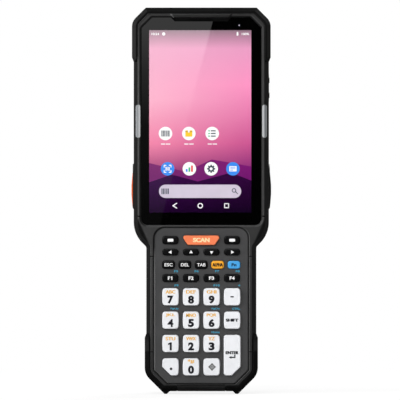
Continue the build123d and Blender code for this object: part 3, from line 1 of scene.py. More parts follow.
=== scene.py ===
# %% [markdown]
# # A portable barcode data terminal, dressed in Blender
# The object is a hand tool: a wide head with a touch window, a narrow grip with thirty-one keys, rubber
# at both ends and a trigger on each side. Its solids come ready from a CAD model, already in metres and in
# their right places. This lesson gives them finishes and adds what is too thin for solids: printed
# lettering, the lit picture of the display, gauze, and small ribs. Working this way round keeps every
# size right, because nothing here moves a solid.

# %% Load the solids
import math

import bpy
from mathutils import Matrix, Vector


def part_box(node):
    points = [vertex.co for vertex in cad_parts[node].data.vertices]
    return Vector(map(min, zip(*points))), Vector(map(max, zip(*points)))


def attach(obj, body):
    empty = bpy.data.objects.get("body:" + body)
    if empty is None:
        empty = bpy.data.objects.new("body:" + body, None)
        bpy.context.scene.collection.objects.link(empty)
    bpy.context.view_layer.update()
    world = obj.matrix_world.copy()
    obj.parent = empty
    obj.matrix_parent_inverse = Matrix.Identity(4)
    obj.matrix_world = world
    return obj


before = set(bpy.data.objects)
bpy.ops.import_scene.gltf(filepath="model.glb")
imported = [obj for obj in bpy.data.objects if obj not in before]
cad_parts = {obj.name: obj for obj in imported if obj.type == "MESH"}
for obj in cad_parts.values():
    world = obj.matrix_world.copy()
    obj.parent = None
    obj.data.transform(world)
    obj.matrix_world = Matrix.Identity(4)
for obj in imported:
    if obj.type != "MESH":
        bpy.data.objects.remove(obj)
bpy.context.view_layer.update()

mm = 0.001

# %% [markdown]
# ## A short way to wire a finish
# A finish in Blender is a small graph: places on the object go in, and a shader comes out. Each of ours
# needs a dozen boxes, so one helper adds a box, types in its constants and joins its wires in a single
# line. The others take up what comes back in every finish: a sum, a range, a noise, and how far a rounded
# edge leans to one side. Patterns read Object coordinates, which are the metres of the object itself, so
# a grain of a quarter millimetre stays that size on every piece.

# %% Helpers that add the boxes of a shader graph
def add(tree, kind, wires=(), settings=(), **constants):
    box = tree.nodes.new(kind)
    for name, value in dict(settings).items():
        setattr(box, name, value)
    for name, value in constants.items():
        box.inputs[name.replace("_", " ")].default_value = value
    for name, source in dict(wires).items():
        tree.links.new(source, box.inputs[name])
    return box


def fill(tree, box, values, slots=(0, 1, 2)):
    """Join wires to the numbered sockets of a box, or type numbers into them."""
    for slot, value in zip(slots, values):
        if hasattr(value, "links"):
            tree.links.new(value, box.inputs[slot])
        else:
            box.inputs[slot].default_value = value
    return box


def calc(tree, operation, *values, kind="ShaderNodeMath"):
    return fill(tree, add(tree, kind, settings={"operation": operation}), values).outputs["Value"]


def span(tree, value, low, high, to_low=0.0, to_high=1.0):
    """Turn the range from low to high into another one, and hold its ends."""
    return add(tree, "ShaderNodeMapRange", {"Value": value}, From_Min=low, From_Max=high,
               To_Min=to_low, To_Max=to_high).outputs[0]


def noise(tree, place, size, detail, **constants):
    return add(tree, "ShaderNodeTexNoise", {"Vector": place}, Scale=1 / (size * mm), Detail=detail,
               **constants).outputs["Fac"]


def bead(tree, radius, samples=6):
    """The normal of the surface, as if its edges had this radius."""
    return add(tree, "ShaderNodeBevel", settings={"samples": samples}, Radius=radius * mm).outputs[0]


def leaning(tree, radius, towards, samples=6):
    return calc(tree, "DOT_PRODUCT", bead(tree, radius, samples), towards, kind="ShaderNodeVectorMath")


def axes(tree, place):
    return add(tree, "ShaderNodeSeparateXYZ", {"Vector": place}).outputs


def new_finish(name, kind="ShaderNodeBsdfPrincipled", **constants):
    finish = bpy.data.materials.new(name)
    finish.use_nodes = True
    tree = finish.node_tree
    tree.nodes.clear()
    shader = add(tree, kind, **constants)
    add(tree, "ShaderNodeOutputMaterial", {"Surface": shader.outputs[0]})
    place = add(tree, "ShaderNodeTexCoord").outputs["Object"]
    return finish, tree, shader, place


def paint(tree, shader, tone):
    tree.links.new(tone, shader.inputs["Base Color"])


def grey(level):
    return (level, level, level, 1.0)


def shade(tone, times=1.0, plus=0.0, most=1.0):
    return tuple(min(most, c * times + plus) for c in tone[:3]) + (1.0,)


print("helpers ready")

# %% [markdown]
# ## Moulded plastic
# The case is injection moulded, and its tool was spark eroded, which leaves a fine even grain that takes
# the shine off. Real plastic is never one flat tone either, and its edges are a little lighter. So the
# finish has four parts: slow cloudy change of tone, a fine grain in the bump, a roughness that follows the
# grain, and a lighter line where a Bevel node finds an edge, which stands partly for edge wear and partly
# for a painted highlight. The Bevel node looks at the shape round a point, so it finds edges on any mesh
# without an unwrapped map.

# %% Helpers for tone, grain and worn edges
def mix(tree, share, under, over):
    box = add(tree, "ShaderNodeMix", settings={"data_type": "RGBA"})
    return fill(tree, box, (share, under, over), (0, 6, 7)).outputs[2]


def cloudy(tree, place, tone, change, size):
    share = span(tree, noise(tree, place, size, 4.0), 0.3, 0.7)
    return mix(tree, share, shade(tone, 1 - change), shade(tone, 1 + change))


def ramp(tree, share, stops):
    """Tones along a range, where a single number stands for a grey."""
    box = add(tree, "ShaderNodeValToRGB", {"Fac": share})
    marks = box.color_ramp.elements
    while len(marks) < len(stops):
        marks.new(0.5)
    for mark, (where, tone) in zip(marks, stops):
        mark.position, mark.color = where, tone + (1.0,) if isinstance(tone, tuple) else grey(tone)
    return box.outputs["Color"]


# Edge wear and painted highlight: a lighter tone along every edge that a Bevel node finds.
def edge_wear_and_highlight(tree, width, strength):
    """A share that grows where the rounded normal and the true one part."""
    true = add(tree, "ShaderNodeNewGeometry").outputs["Normal"]
    return span(tree, leaning(tree, width, true, 4), 0.995, 0.80, to_high=strength)


def grain(tree, shader, place, size, depth, rough, rounding=0.0):
    fine = noise(tree, place, size, 3.0, Roughness=0.6)
    bump = add(tree, "ShaderNodeBump", {"Height": fine}, Strength=1.0, Distance=depth * mm)
    if rounding:
        tree.links.new(bead(tree, rounding), bump.inputs["Normal"])
    tree.links.new(bump.outputs[0], shader.inputs["Normal"])
    tree.links.new(span(tree, fine, 0.3, 0.7, rough - 0.07, rough + 0.07), shader.inputs["Roughness"])


print("tone, grain and edges ready")

# %% [markdown]
# ## Painted highlight and shade on the case
# The Bevel node also gives a rounded normal, and the side that this normal leans to tells which flank of
# a rim faces the lamp on the upper left. That flank gets a painted highlight, a lighter tone in the colour.
# Masks keep it on the frontmost face, weaker on the brow that stands further forward, fainter near the
# foot, and inside a slanted line on each side. Beyond that line the front is painted nearly black, as
# painted shade. The keypad frame gets a painted highlight instead, a bright line on its left edges, below
# the function keys.

# %% Painted rim highlight and shade, painted edge glint and the moulded finish
rim_from, rim_full, brow_from, brow_full, brow_share = -16.32, -16.39, -16.50, -16.70, 0.35
shade_line_slope, shade_line_offset, shade_line_least, shade_line_blur = 0.451, -8.7, 29.2, 0.5
highlight_faint_below, highlight_full_above, glint_full, glint_ends, left_light_gain = 18, 60, 72, 84, -0.5


# Painted highlight on the frontmost face of the rim, on the flank that leans to the lamp on the left, and
# painted shade, nearly black, on the front outside a slanted line on each side.
def painted_rim_light(tree, place, body, highlight_tone, change):
    across, deep, height = axes(tree, place)
    front = span(tree, deep, rim_from * mm, rim_full * mm)
    lean = calc(tree, "MULTIPLY_ADD", across, left_light_gain, leaning(tree, 0.7, (-0.8, 0.0, 0.15)))
    slope = calc(tree, "MULTIPLY_ADD", height, shade_line_slope, shade_line_offset * mm)
    beyond = calc(tree, "SUBTRACT", calc(tree, "ABSOLUTE", across),
                  calc(tree, "MAXIMUM", slope, shade_line_least * mm))
    share = front
    for mask in (span(tree, lean, -0.09, 0.42),
                 span(tree, deep, brow_from * mm, brow_full * mm, 1.0, brow_share),
                 span(tree, beyond, shade_line_blur * mm, -shade_line_blur * mm)):
        share = calc(tree, "MULTIPLY", share, mask)
    rim_highlight = mix(tree, span(tree, height, highlight_faint_below * mm, highlight_full_above * mm), shade(highlight_tone, 0.68),
                 cloudy(tree, place, highlight_tone, change, 6.0))
    # Outside the slanted line the front is painted nearly black: painted shade.
    painted_shade = calc(tree, "MULTIPLY", span(tree, beyond, -shade_line_blur * mm, shade_line_blur * mm), front)
    return mix(tree, painted_shade, mix(tree, share, body, rim_highlight), grey(0.0025))


# A painted glint: a lighter tone on edges that lean to the upper left, below the function keys.
def painted_glint(tree, place, body, glint):
    facing = span(tree, leaning(tree, 0.28, (-0.8, 0.0, 0.4), 4), 0.08, 0.45)
    low = span(tree, axes(tree, place)["Z"], glint_ends * mm, glint_full * mm)
    return mix(tree, calc(tree, "MULTIPLY", facing, low), body, glint)


def moulded(name, tone, rough, size, depth, change=0.10, edge=0.15, edge_tone=0.03, highlight_tone=None,
            glint=None):
    finish, tree, shader, place = new_finish(name, Specular_IOR_Level=0.25)
    body = cloudy(tree, place, tone, change, 14.0)
    # Painted highlight and painted shade on the front rim.
    if highlight_tone:
        body = painted_rim_light(tree, place, body, highlight_tone, change)
    # A painted glint on the left edges of the frame.
    if glint:
        body = painted_glint(tree, place, body, glint)
    # Lighter edges: partly edge wear, partly a painted highlight.
    paint(tree, shader, mix(tree, edge_wear_and_highlight(tree, 0.2, edge), body, shade(tone, plus=edge_tone)))
    grain(tree, shader, place, size, depth, rough, 0.3)
    return finish


print("moulded plastic ready")

# %% [markdown]
# ## The plastics of the case
# One recipe serves for every moulded part, with its own tone and grain. The keypad frame is a dark grey.
# The case and the battery are nearly black, and the front of the case carries a painted highlight along
# its rim and painted shade outside a slanted line on each side. The orange trigger is smoother, since a
# finger slides over it. Colours are typed as light values, not as screen values, so a grey of 75 on a
# screen is only 0.07 here.

# %% Case, bezel, battery and trigger plastics
# The lighter rim tone, grey 0.155, is a painted highlight.
housing_plastic = moulded("housing_plastic", grey(0.0085), 0.42, size=0.32, depth=0.012, highlight_tone=grey(0.155))
rear_plastic = moulded("rear_housing_plastic", grey(0.0125), 0.48, size=0.38, depth=0.018)
# The bezel's strong lighter edge and its glint are painted highlights.
bezel_plastic = moulded("bezel_plastic", (0.052, 0.052, 0.053, 1), 0.5, size=0.28, depth=0.010, edge=0.9,
                        edge_tone=0.05, glint=grey(0.28))
battery_plastic = moulded("battery_plastic", grey(0.011), 0.5, size=0.4, depth=0.022)
latch_plastic = moulded("latch_plastic", grey(0.03), 0.42, size=0.25, depth=0.010)
module_plastic = moulded("module_plastic", grey(0.012), 0.45, size=0.3, depth=0.010)
control_black = moulded("control_black", grey(0.008), 0.40, size=0.25, depth=0.008)
trigger_orange = moulded("trigger_orange", (0.85, 0.12, 0.015, 1), 0.38, size=0.25, depth=0.006,
                         change=0.05)
print("plastics:", [m.name for m in bpy.data.materials if "plastic" in m.name])

# %% [markdown]
# ## Rubber
# The bumpers and the cover over the socket are a soft rubber, moulded over the case. Rubber scatters more
# than plastic: it has hardly any highlight, a coarser skin and a dusty bloom where it is touched. The same
# helpers do it, with a rougher skin, a weaker reflection and a second, larger cloud of dust, whose tone
# also lightens the edges as wear and painted highlight. On the sides of the head a ramp over the leaning of
# the
# surface paints highlight and shade: lighter on both sides, darker on the front. On the thin upper part of
# the base arms a band of lighter grey starts right above the seam.

# %% Bumper rubber
head_from, head_full = 100, 140
arm_from, arm_full, arm_fades, arm_ends = 24.2, 24.6, 29.0, 33.0


def rubber(name, tone, dust_and_sheen, flank_light_ramp=None):
    finish, tree, shader, place = new_finish(name, Specular_IOR_Level=0.06)
    body = cloudy(tree, place, tone, 0.15, 9.0)
    # Painted highlight and shade on the sides of the head, by which way the surface leans.
    if flank_light_ramp:
        height = axes(tree, place)["Z"]
        flank = span(tree, leaning(tree, 0.5, (-0.85, 0.0, -0.35)), -0.6, 0.6)
        head = span(tree, height, head_from * mm, head_full * mm)
        body = mix(tree, head, body, ramp(tree, flank, flank_light_ramp))
        arm = calc(tree, "MULTIPLY", span(tree, height, arm_from * mm, arm_full * mm),
                   span(tree, height, arm_ends * mm, arm_fades * mm))
        body = mix(tree, arm, body, grey(0.013))
    bloom = span(tree, noise(tree, place, 2.2, 6.0), 0.5, 0.8, to_high=0.35)
    dusty = mix(tree, bloom, body, dust_and_sheen)
    # The edges take the dust tone: edge wear and a painted highlight.
    paint(tree, shader, mix(tree, edge_wear_and_highlight(tree, 0.35, 0.4), dusty, dust_and_sheen))
    grain(tree, shader, place, 0.45, 0.03, 0.68, 0.3)
    return finish


# The ramp's stops paint highlight and shade on the sides of the head.
bumper_rubber = rubber("bumper_rubber", grey(0.0034), grey(0.008),
                       [(0.0, 0.011), (0.28, 0.0015), (0.5, 0.0040), (1.0, 0.019)])
cover_rubber = rubber("cover_rubber", grey(0.010), grey(0.020))
silicone_mat = rubber("silicone_mat", grey(0.02), grey(0.03))
print("rubbers ready")

# %% [markdown]
# ## Key caps
# A key cap is a hard clear-coated cap glued on a silicone mat. It has a satin top with a very faint
# orange-peel, and its edges catch a soft line of light. White caps are kept a little under full white,
# because no paint returns all light, and a full white would clip and lose its shading.

# %% Key cap finishes
def key_cap(name, tone, rough=0.36, change=0.03, specular=0.3):
    finish, tree, shader, place = new_finish(name, Specular_IOR_Level=specular, Coat_Weight=0.06,
                                             Coat_Roughness=0.25)
    body = cloudy(tree, place, tone, change, 3.0)
    # The lighter edge of the cap is a painted highlight.
    paint(tree, shader, mix(tree, edge_wear_and_highlight(tree, 0.15, 0.3), body, shade(tone, 1.3, 0.02, 0.95)))
    grain(tree, shader, place, 0.6, 0.006, rough)
    return finish


key_white = key_cap("key_white", (0.755, 0.765, 0.79, 1))
key_dark = key_cap("key_dark", (0.0042, 0.0042, 0.0046, 1), 0.36, 0.10, 0.12)
key_scan_orange = key_cap("key_scan_orange", (0.83, 0.20, 0.080, 1))
key_amber = key_cap("key_amber", (0.86, 0.37, 0.020, 1))
key_blue = key_cap("key_blue", (0.055, 0.34, 0.72, 1))
print("key caps ready")

# %% [markdown]
# ## Glass and clear plastics
# The touch window is one sheet of glass printed black from behind, so it is black with a mirror-like
# front. A perfect mirror looks false. Real glass has faint smears that only show in its reflections, so
# the smears go into the roughness and not into the colour. The two light pipes are frosted bars. A ramp
# over the distance from the middle paints their light and shade: a painted highlight near their inner
# edge, a darker outer band and a lighter outermost edge. The scan window is a deep red under a clear
# coat, and the camera window is nearly black.

# %% Glass, light pipes and windows
def glassy(name, tone, rough, smear, **constants):
    finish, tree, shader, place = new_finish(name, **constants)
    paint(tree, shader, cloudy(tree, place, tone, 0.06, 20.0))
    smears = noise(tree, place, 11, 5.0, Distortion=1.5)
    tree.links.new(span(tree, smears, 0.45, 0.75, rough, rough + smear), shader.inputs["Roughness"])
    return finish


black_glass = glassy("black_glass", grey(0.0006), 0.0, 0.012)
pipe_inner, pipe_outer = 34.6, 37.4
light_pipe, tree, shader, place = new_finish("light_pipe", Roughness=0.3, Coat_Weight=0.3)
out = span(tree, calc(tree, "ABSOLUTE", axes(tree, place)["X"]), pipe_inner * mm, pipe_outer * mm)
# Painted highlight and shade across the pipe: a bright line near the inner edge, a darker outer band, a
# lighter outermost edge.
pipe_light_and_shade = ramp(tree, out, [(0.0, (0.24, 0.25, 0.26)), (0.14, (0.44, 0.45, 0.46)),
                       (0.34, (0.44, 0.45, 0.46)), (0.48, (0.22, 0.23, 0.24)),
                       (0.80, (0.20, 0.21, 0.22)), (0.90, (0.30, 0.31, 0.32))])
paint(tree, shader, pipe_light_and_shade)
red_window = glassy("red_window", (0.10, 0.002, 0.004, 1), 0.05, 0.05, Coat_Weight=0.5)
camera_glass = glassy("camera_glass", (0.003, 0.004, 0.006, 1), 0.03, 0.05)
print("glasses ready")

# %% [markdown]
# ## Metals
# Screws, springs, contacts and cans are metal, so their colour sits in the reflection itself. Turned and
# rolled metal has fine streaks. A noise that is stretched along one axis makes them: it drives both the
# roughness and a slight bump.

# %% Metal finishes
def metal(name, tone, rough, streak=(1, 1, 8), size=0.5, depth=0.004):
    finish, tree, shader, place = new_finish(name, Metallic=1.0)
    turned = add(tree, "ShaderNodeMapping", {"Vector": place}, Scale=streak)
    paint(tree, shader, cloudy(tree, place, tone, 0.12, 4.0))
    grain(tree, shader, turned.outputs[0], size, depth, rough)
    return finish


screw_steel = metal("screw_steel", grey(0.10), 0.35)
spring_steel = metal("spring_steel", grey(0.55), 0.30)
shield_can = metal("shield_can", grey(0.60), 0.28, size=0.9)
cast_magnesium = metal("cast_magnesium", grey(0.45), 0.55, streak=(1, 1, 1), depth=0.02)
gold_contact = metal("gold_contact", (0.85, 0.60, 0.22, 1), 0.22, size=0.3)
brass_insert = metal("brass_insert", (0.65, 0.45, 0.18, 1), 0.30, size=0.3)
print("metals ready")

# %% [markdown]
# ## Board and panel
# Inside, a circuit board is a green lacquer over copper. Its tracks show as a faint grid, which a Brick
# texture makes in one box. The display panel behind the glass is a dark film with a very fine cell grid.

# %% Circuit board and display panel
def patterned(name, tone, line, cell, rough):
    finish, tree, shader, place = new_finish(name)
    turned = add(tree, "ShaderNodeMapping", {"Vector": place}, Rotation=(math.pi / 2, 0, 0))
    grid = add(tree, "ShaderNodeTexBrick", {"Vector": turned.outputs[0]}, Color1=tone, Color2=tone,
               Mortar=line, Scale=1 / (cell * mm), Mortar_Size=0.06, Brick_Width=1.0, Row_Height=0.5)
    paint(tree, shader, grid.outputs["Color"])
    grain(tree, shader, place, 0.5, 0.01, rough)
    return finish


circuit_board = patterned("circuit_board", (0.008, 0.06, 0.02, 1), (0.02, 0.12, 0.05, 1), 2.0, 0.4)
display_panel = patterned("display_panel", (0.02, 0.02, 0.03, 1), (0.01, 0.01, 0.015, 1), 0.4, 0.2)
print("board finishes ready")

# %% [markdown]
# ## Dress the solids
# Every solid keeps its mesh and gets its finish in its material slot. Two tables of finishes, one with
# solids and one with key caps, are easier to read and to change than sixty separate lines.

# %% Give each solid its finish
solids = [
    (housing_plastic, "front_housing"), (rear_plastic, "rear_housing"), (bezel_plastic, "keypad_bezel"),
    (bumper_rubber, "head_bumper base_bumper"), (cover_rubber, "port_cover"),
    (silicone_mat, "keypad_mat"), (circuit_board, "keypad_board main_board"),
    (spring_steel, "key_switches"), (black_glass, "touch_window"), (display_panel, "display_module"),
    (cast_magnesium, "chassis"), (shield_can, "board_components usb_socket"),
    (module_plastic, "scan_engine rear_camera speakers"), (red_window, "scan_window"),
    (control_black, "right_trigger volume_rocker"), (trigger_orange, "left_trigger"),
    (light_pipe, "light_pipes"), (battery_plastic, "battery_pack"), (latch_plastic, "battery_latch"),
    (gold_contact, "contact_pins"), (camera_glass, "camera_window"), (screw_steel, "housing_screws"),
    (brass_insert, "strap_inserts")]
caps = [
    (key_white, "0 1 2 3 4 5 6 7 8 9 point diamond shift minus enter"),
    (key_dark, "escape delete tab left_soft right_soft arrow_left arrow_up arrow_down arrow_right"),
    (key_dark, "f1 f2 f3 f4"), (key_scan_orange, "scan"), (key_amber, "alpha"), (key_blue, "function")]
dressed = 0
for table, prefix in ((solids, ""), (caps, "key_")):
    for finish, names in table:
        for name in names.split():
            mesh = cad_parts[prefix + name].data
            mesh.materials.clear()
            mesh.materials.append(finish)
            dressed += 1
print("solids dressed:", dressed, "of", len(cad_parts))

# %% [markdown]
# ## Thin printed shapes
# Print on a key, or the picture on a display, is flat, but a flat sheet with no back is a hole in any
# other program. So each printed shape is a closed plate a few hundredths of a millimetre thick. An
# outline of points becomes a plate by making its front, its back and the strip of faces between them.

# %% Outlines and plates
def round_points(x, z, radius, count, start=0.0):
    angles = [2 * math.pi * (start + i / count) for i in range(count)]
    return [(x + radius * math.cos(a), z + radius * math.sin(a)) for a in angles]


def soft_box(x, z, wide, high, corner, steps=6):
    points = []
    for sx, sz, start in ((1, 1, 0), (-1, 1, 90), (-1, -1, 180), (1, -1, 270)):
        cx, cz = x + sx * (wide / 2 - corner), z + sz * (high / 2 - corner)
        for i in range(steps + 1):
            a = math.radians(start + 90 * i / steps)
            points.append((cx + corner * math.cos(a), cz + corner * math.sin(a)))
    return points


def meshed(name, corners, faces):
    mesh = bpy.data.meshes.new(name)
    mesh.from_pydata(corners, [], faces)
    return mesh


def stand(name, data):
    thing = bpy.data.objects.new(name, data)
    bpy.context.scene.collection.objects.link(thing)
    return thing


def plate(points, front, thick=0.02):
    area = sum(x0 * z1 - x1 * z0 for (x0, z0), (x1, z1) in zip(points, points[1:] + points[:1]))
    if area < 0:
        points = points[::-1]
    count = len(points)
    corners = [(x * mm, y * mm, z * mm) for y in (front, front + thick) for x, z in points]
    faces = [list(range(count)), list(range(2 * count - 1, count - 1, -1))]
    faces += [[i, i + count, (i + 1) % count + count, (i + 1) % count] for i in range(count)]
    return meshed("plate", corners, faces)


def ring(x, z, outer, inner, front, thick, count=40):
    rims = [round_points(x, z, r, count) for r in (outer, inner)]
    corners = [(a * mm, y * mm, c * mm) for y in (front, front + thick) for rim in rims for a, c in rim]
    faces = []
    for i in range(count):
        o, n, ob, nb = (i + k * count for k in range(4))
        o2, n2, ob2, nb2 = ((i + 1) % count + k * count for k in range(4))
        faces += [(o, o2, n2, n), (ob, nb, nb2, ob2), (o, ob, ob2, o2), (n, n2, nb2, nb)]
    return meshed("ring", corners, faces)


print("plates ready")

# %% [markdown]
# ## Lettering
# Blender sets type as a curve, and a mesh can be taken from its evaluated copy. The helper then scales the
# mesh to an exact height and width in millimetres, stands it up and moves it to its place on the piece,
# because a key is lettered to fit its cap and not to a point size. A small offset fattens the strokes,
# as a bold face would, and some words are struck twice, a fifth of a millimetre or a little more apart.

# %% Words as thin meshes
def taken(thing):
    """The evaluated mesh of an object, which is then removed."""
    mesh = bpy.data.meshes.new_from_object(thing.evaluated_get(bpy.context.evaluated_depsgraph_get()))
    bpy.data.objects.remove(thing)
    return mesh


def word(text, x, z, high, wide, front, bold=0.03, thick=0.02, align="CENTER"):
    curve = bpy.data.curves.new("word", "FONT")
    curve.body, curve.offset, curve.extrude, curve.resolution_u = text, bold, 0.5, 6
    typed = stand("word", curve)
    bpy.context.view_layer.update()
    mesh = taken(typed)
    bpy.data.curves.remove(curve)
    xs, ys = [v.co.x for v in mesh.vertices], [v.co.y for v in mesh.vertices]
    tall, broad = high / (max(ys) - min(ys)), wide / (max(xs) - min(xs))
    middle = {"CENTER": (min(xs) + max(xs)) / 2, "RIGHT": max(xs), "LEFT": min(xs)}[align]
    for v in mesh.vertices:
        across, up = (v.co.x - middle) * broad + x, (v.co.y - (min(ys) + max(ys)) / 2) * tall + z
        v.co = Vector((across * mm, (front + (0 if v.co.z > 0 else thick)) * mm, up * mm))
    return mesh


def struck(text, x, z, high, wide, front, bold, tone, apart):
    """A word printed twice, a little apart, which makes its strokes bolder."""
    return [(word(text, x + dx, z, high, wide, front + dx / 50, bold), tone) for dx in (-apart, apart)]


def one(x, z, high, front):
    """The digit 1 with its flag, which plain type leaves out."""
    w = high / 4.4
    shape = [(-0.40, -2.2), (0.72, -2.2), (0.72, 2.2), (-0.10, 2.2), (-1.35, 1.55), (-1.15, 0.70),
             (-0.40, 1.10)]
    return plate([(x + a * w, z + b * w) for a, b in shape], front)


def join(name, parts, body):
    """One piece from several (mesh, finish) parts."""
    corners, faces, marks, finishes = [], [], [], []
    for mesh, finish in parts:
        base = len(corners)
        corners += [tuple(v.co) for v in mesh.vertices]
        faces += [[base + i for i in p.vertices] for p in mesh.polygons]
        if finish not in finishes:
            finishes.append(finish)
        marks += [finishes.index(finish)] * len(mesh.polygons)
        bpy.data.meshes.remove(mesh)
    whole = meshed(name, corners, faces)
    for finish in finishes:
        whole.materials.append(finish)
    whole.polygons.foreach_set("material_index", marks)
    piece = stand(name, whole)
    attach(piece, body)
    return piece


print("lettering ready")

# %% [markdown]
# ## Inks
# Key print is a pad-printed ink: a matt film with a slightly uneven edge and density. Six inks are on
# this keypad: black for digits, orange for the second-level letters, grey for a symbol, white on the dark
# keys, cream on the orange key, and blue for the function labels on the frame. The recipe is a satin coat
# over a clouded tone.

# %% Ink finishes
def ink(name, tone, rough=0.45, specular=0.4):
    finish, tree, shader, place = new_finish(name, Specular_IOR_Level=specular)
    paint(tree, shader, cloudy(tree, place, tone, 0.08, 0.8))
    grain(tree, shader, place, 0.2, 0.002, rough)
    return finish


ink_black = ink("ink_black", (0.006, 0.006, 0.012, 1))
ink_orange = ink("ink_orange", (0.76, 0.40, 0.055, 1))
ink_grey = ink("ink_grey", grey(0.14))
ink_white = ink("ink_white", grey(0.86))
ink_blue = ink("ink_blue", (0.035, 0.29, 0.44, 1))
ink_cream = ink("ink_cream", (0.93, 0.66, 0.36, 1))
print("inks:", [m.name for m in bpy.data.materials if m.name.startswith("ink")])

# %% [markdown]
# ## Legends on the keys
# Each key has its own lettering, and it has to travel with the key, so each legend is a piece that rides
# on the body of its cap. The middle of a legend is found from the box of the solid key, which keeps the
# print centred if the keypad is ever made larger. The digits stand below the middle of the key and their
# letters above.

# %% Find a key and print on it
key_lift, frame_lift = 0.025, 0.015


def key_spot(name):
    low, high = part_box("key_" + name)
    return (low.x + high.x) / 2 / mm, (low.z + high.z) / 2 / mm, low.y / mm - key_lift


def legend(name, parts):
    join("legend_" + name, parts, "cap_" + name)


letters = {"7": "ABC", "8": "DEF", "9": "GHI", "4": "JKL", "5": "MNO", "6": "PQR", "1": "STU",
           "2": "VWX", "3": "YZ", "0": "*#"}
digit_drop, digit_high, digit_wide, digit_bold, four_bold = 1.62, 4.6, 3.35, 0.055, 0.03
for digit, group in letters.items():
    x, z, front = key_spot(digit)
    if digit == "1":
        shape = one(x, z - digit_drop, digit_high, front)
    else:
        bold = four_bold if digit == "4" else digit_bold
        shape = word(digit, x, z - digit_drop, digit_high, digit_wide, front, bold)
    high, lift = (2.4, 3.1) if digit == "0" else (1.95, 2.8)
    above = struck(group, x, z + lift, high, 1.8 * len(group), front, 0.012, ink_orange, 0.10)
    legend(digit, [(shape, ink_black)] + above)
print("digit keys lettered:", len(letters))

# %% [markdown]
# ## Words and signs on the other keys
# The minus, the point, the diamond, the hooked arrow, the four arrows and the bars on the soft keys are
# simple outlines, so they are plates. The words are typed, each squeezed to the width its key allows.

# %% Minus, point, diamond, SHIFT and ENTER
x, z, front = key_spot("minus")
legend("minus", [(plate(soft_box(x, z, 1.9, 0.75, 0.1), front), ink_black)])
x, z, front = key_spot("point")
legend("point", [(plate(soft_box(x + 0.35, z - 1.1, 1.4, 1.4, 0.5), front), ink_black)])
x, z, front = key_spot("diamond")
x += 0.25
arms = []
for dx, dz in ((1, 0), (-1, 0), (0, 1), (0, -1)):
    root = [(x + 0.7 * dx + 1.4 * dz * k, z + 0.7 * dz + 1.4 * dx * k) for k in (-1, 1)]
    arms.append((plate(root + [(x + 2.3 * dx, z + 2.3 * dz)], front), ink_grey))
arms.append((plate(soft_box(x, z, 1.15, 1.15, 0.5), front), ink_grey))
legend("diamond", arms)
x, z, front = key_spot("shift")
legend("shift", struck("SHIFT", x, z, 1.7, 6.9, front, 0.04, ink_black, 0.1))
x, z, front = key_spot("enter")
bend = [(-0.4, -0.95), (1.9, -0.95), (1.9, 0.95), (1.2, 0.95), (1.2, -0.25), (-0.4, -0.25)]
tip = [(-1.9, -0.6), (-0.4, -1.4), (-0.4, 0.2)]
hook = [(plate([(x + a, z - 0.65 + b) for a, b in shape], front), ink_black) for shape in (bend, tip)]
legend("enter", struck("ENTER", x, z + 1.45, 1.75, 7.3, front, 0.04, ink_black, 0.1) + hook)
print("white keys finished")

# %% Dark, amber, blue and orange keys
for name, text, wide in (("escape", "ESC", 4.7), ("delete", "DEL", 4.6), ("tab", "TAB", 4.8)):
    x, z, front = key_spot(name)
    legend(name, [(word(text, x, z, 1.8, wide, front, 0.015), ink_white)])
x, z, front = key_spot("alpha")
legend("alpha", struck("ALPHA", x, z, 1.95, 5.8, front, 0.02, ink_black, 0.12))
x, z, front = key_spot("function")
legend("function", [(word("Fn", x, z, 1.8, 2.8, front, 0.04), ink_black)])
for i in range(1, 5):
    x, z, front = key_spot(f"f{i}")
    mark = [(word(f"F{i}", x, z, 2.0, 2.9, front), ink_white)]
    if i == 1:
        mark = [(word("F", x - 0.8, z, 2.0, 1.3, front), ink_white),
                (one(x + 0.75, z, 2.0, front), ink_white)]
    legend(f"f{i}", mark)
for name, turn in (("arrow_left", 0.5), ("arrow_up", 0.25), ("arrow_down", 0.75), ("arrow_right", 0.0)):
    x, z, front = key_spot(name)
    legend(name, [(plate(round_points(x, z, 1.15, 3, turn), front), ink_white)])
for name in ("left_soft", "right_soft"):
    x, z, front = key_spot(name)
    legend(name, [(plate(soft_box(x, z, 3.35, 1.65, 0.5), front), ink_white)])
x, z, front = key_spot("scan")
legend("scan", struck("SCAN", x, z + 0.1, 2.5, 9.3, front, 0.03, ink_cream, 0.14))
print("small keys finished")

# %% [markdown]
# ## Function labels on the frame
# The blue key gives other keys a second meaning, and those names are printed in blue on the frame above
# each key and end just short of its right edge. The frame is fixed, so they ride on the fixed body.

# %% Blue labels on the keypad frame
bezel_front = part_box("keypad_bezel")[0].y / mm - frame_lift
labels = []
for name, text in (("f1", "F5"), ("f2", "F6"), ("f3", "F7"), ("f4", "F8"), ("7", "F9"), ("9", "F10"),
                   ("minus", "+"), ("4", "PgUp"), ("6", "PgDn"), ("shift", "CTRL"), ("3", "Home")):
    low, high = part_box("key_" + name)
    middle_z = high.z / mm + (0.95 if name[0] == "f" else 0.75)
    wide = min(1.15 * len(text), 5.5)
    labels.append((word(text, high.x / mm - 0.9, middle_z, 1.2, wide, bezel_front, 0.03, 0.012,
                        align="RIGHT"), ink_blue))
join("function_labels", labels, "frame")
print("labels on the frame:", len(labels))

# %% [markdown]
# ## Joint lines on the rim
# The rim that runs round the front is not one strip: it is interrupted near the foot of the glass and
# again where the base arms step. The solid carries a shallow seam mark at the head already, but half a
# millimetre of shade is too faint, so four thin strips lie across the rim as the dark bottom of each
# joint. Their finish hardly reflects: black paint with a normal gloss would mirror the white room and
# come out as grey as the plastic round it.

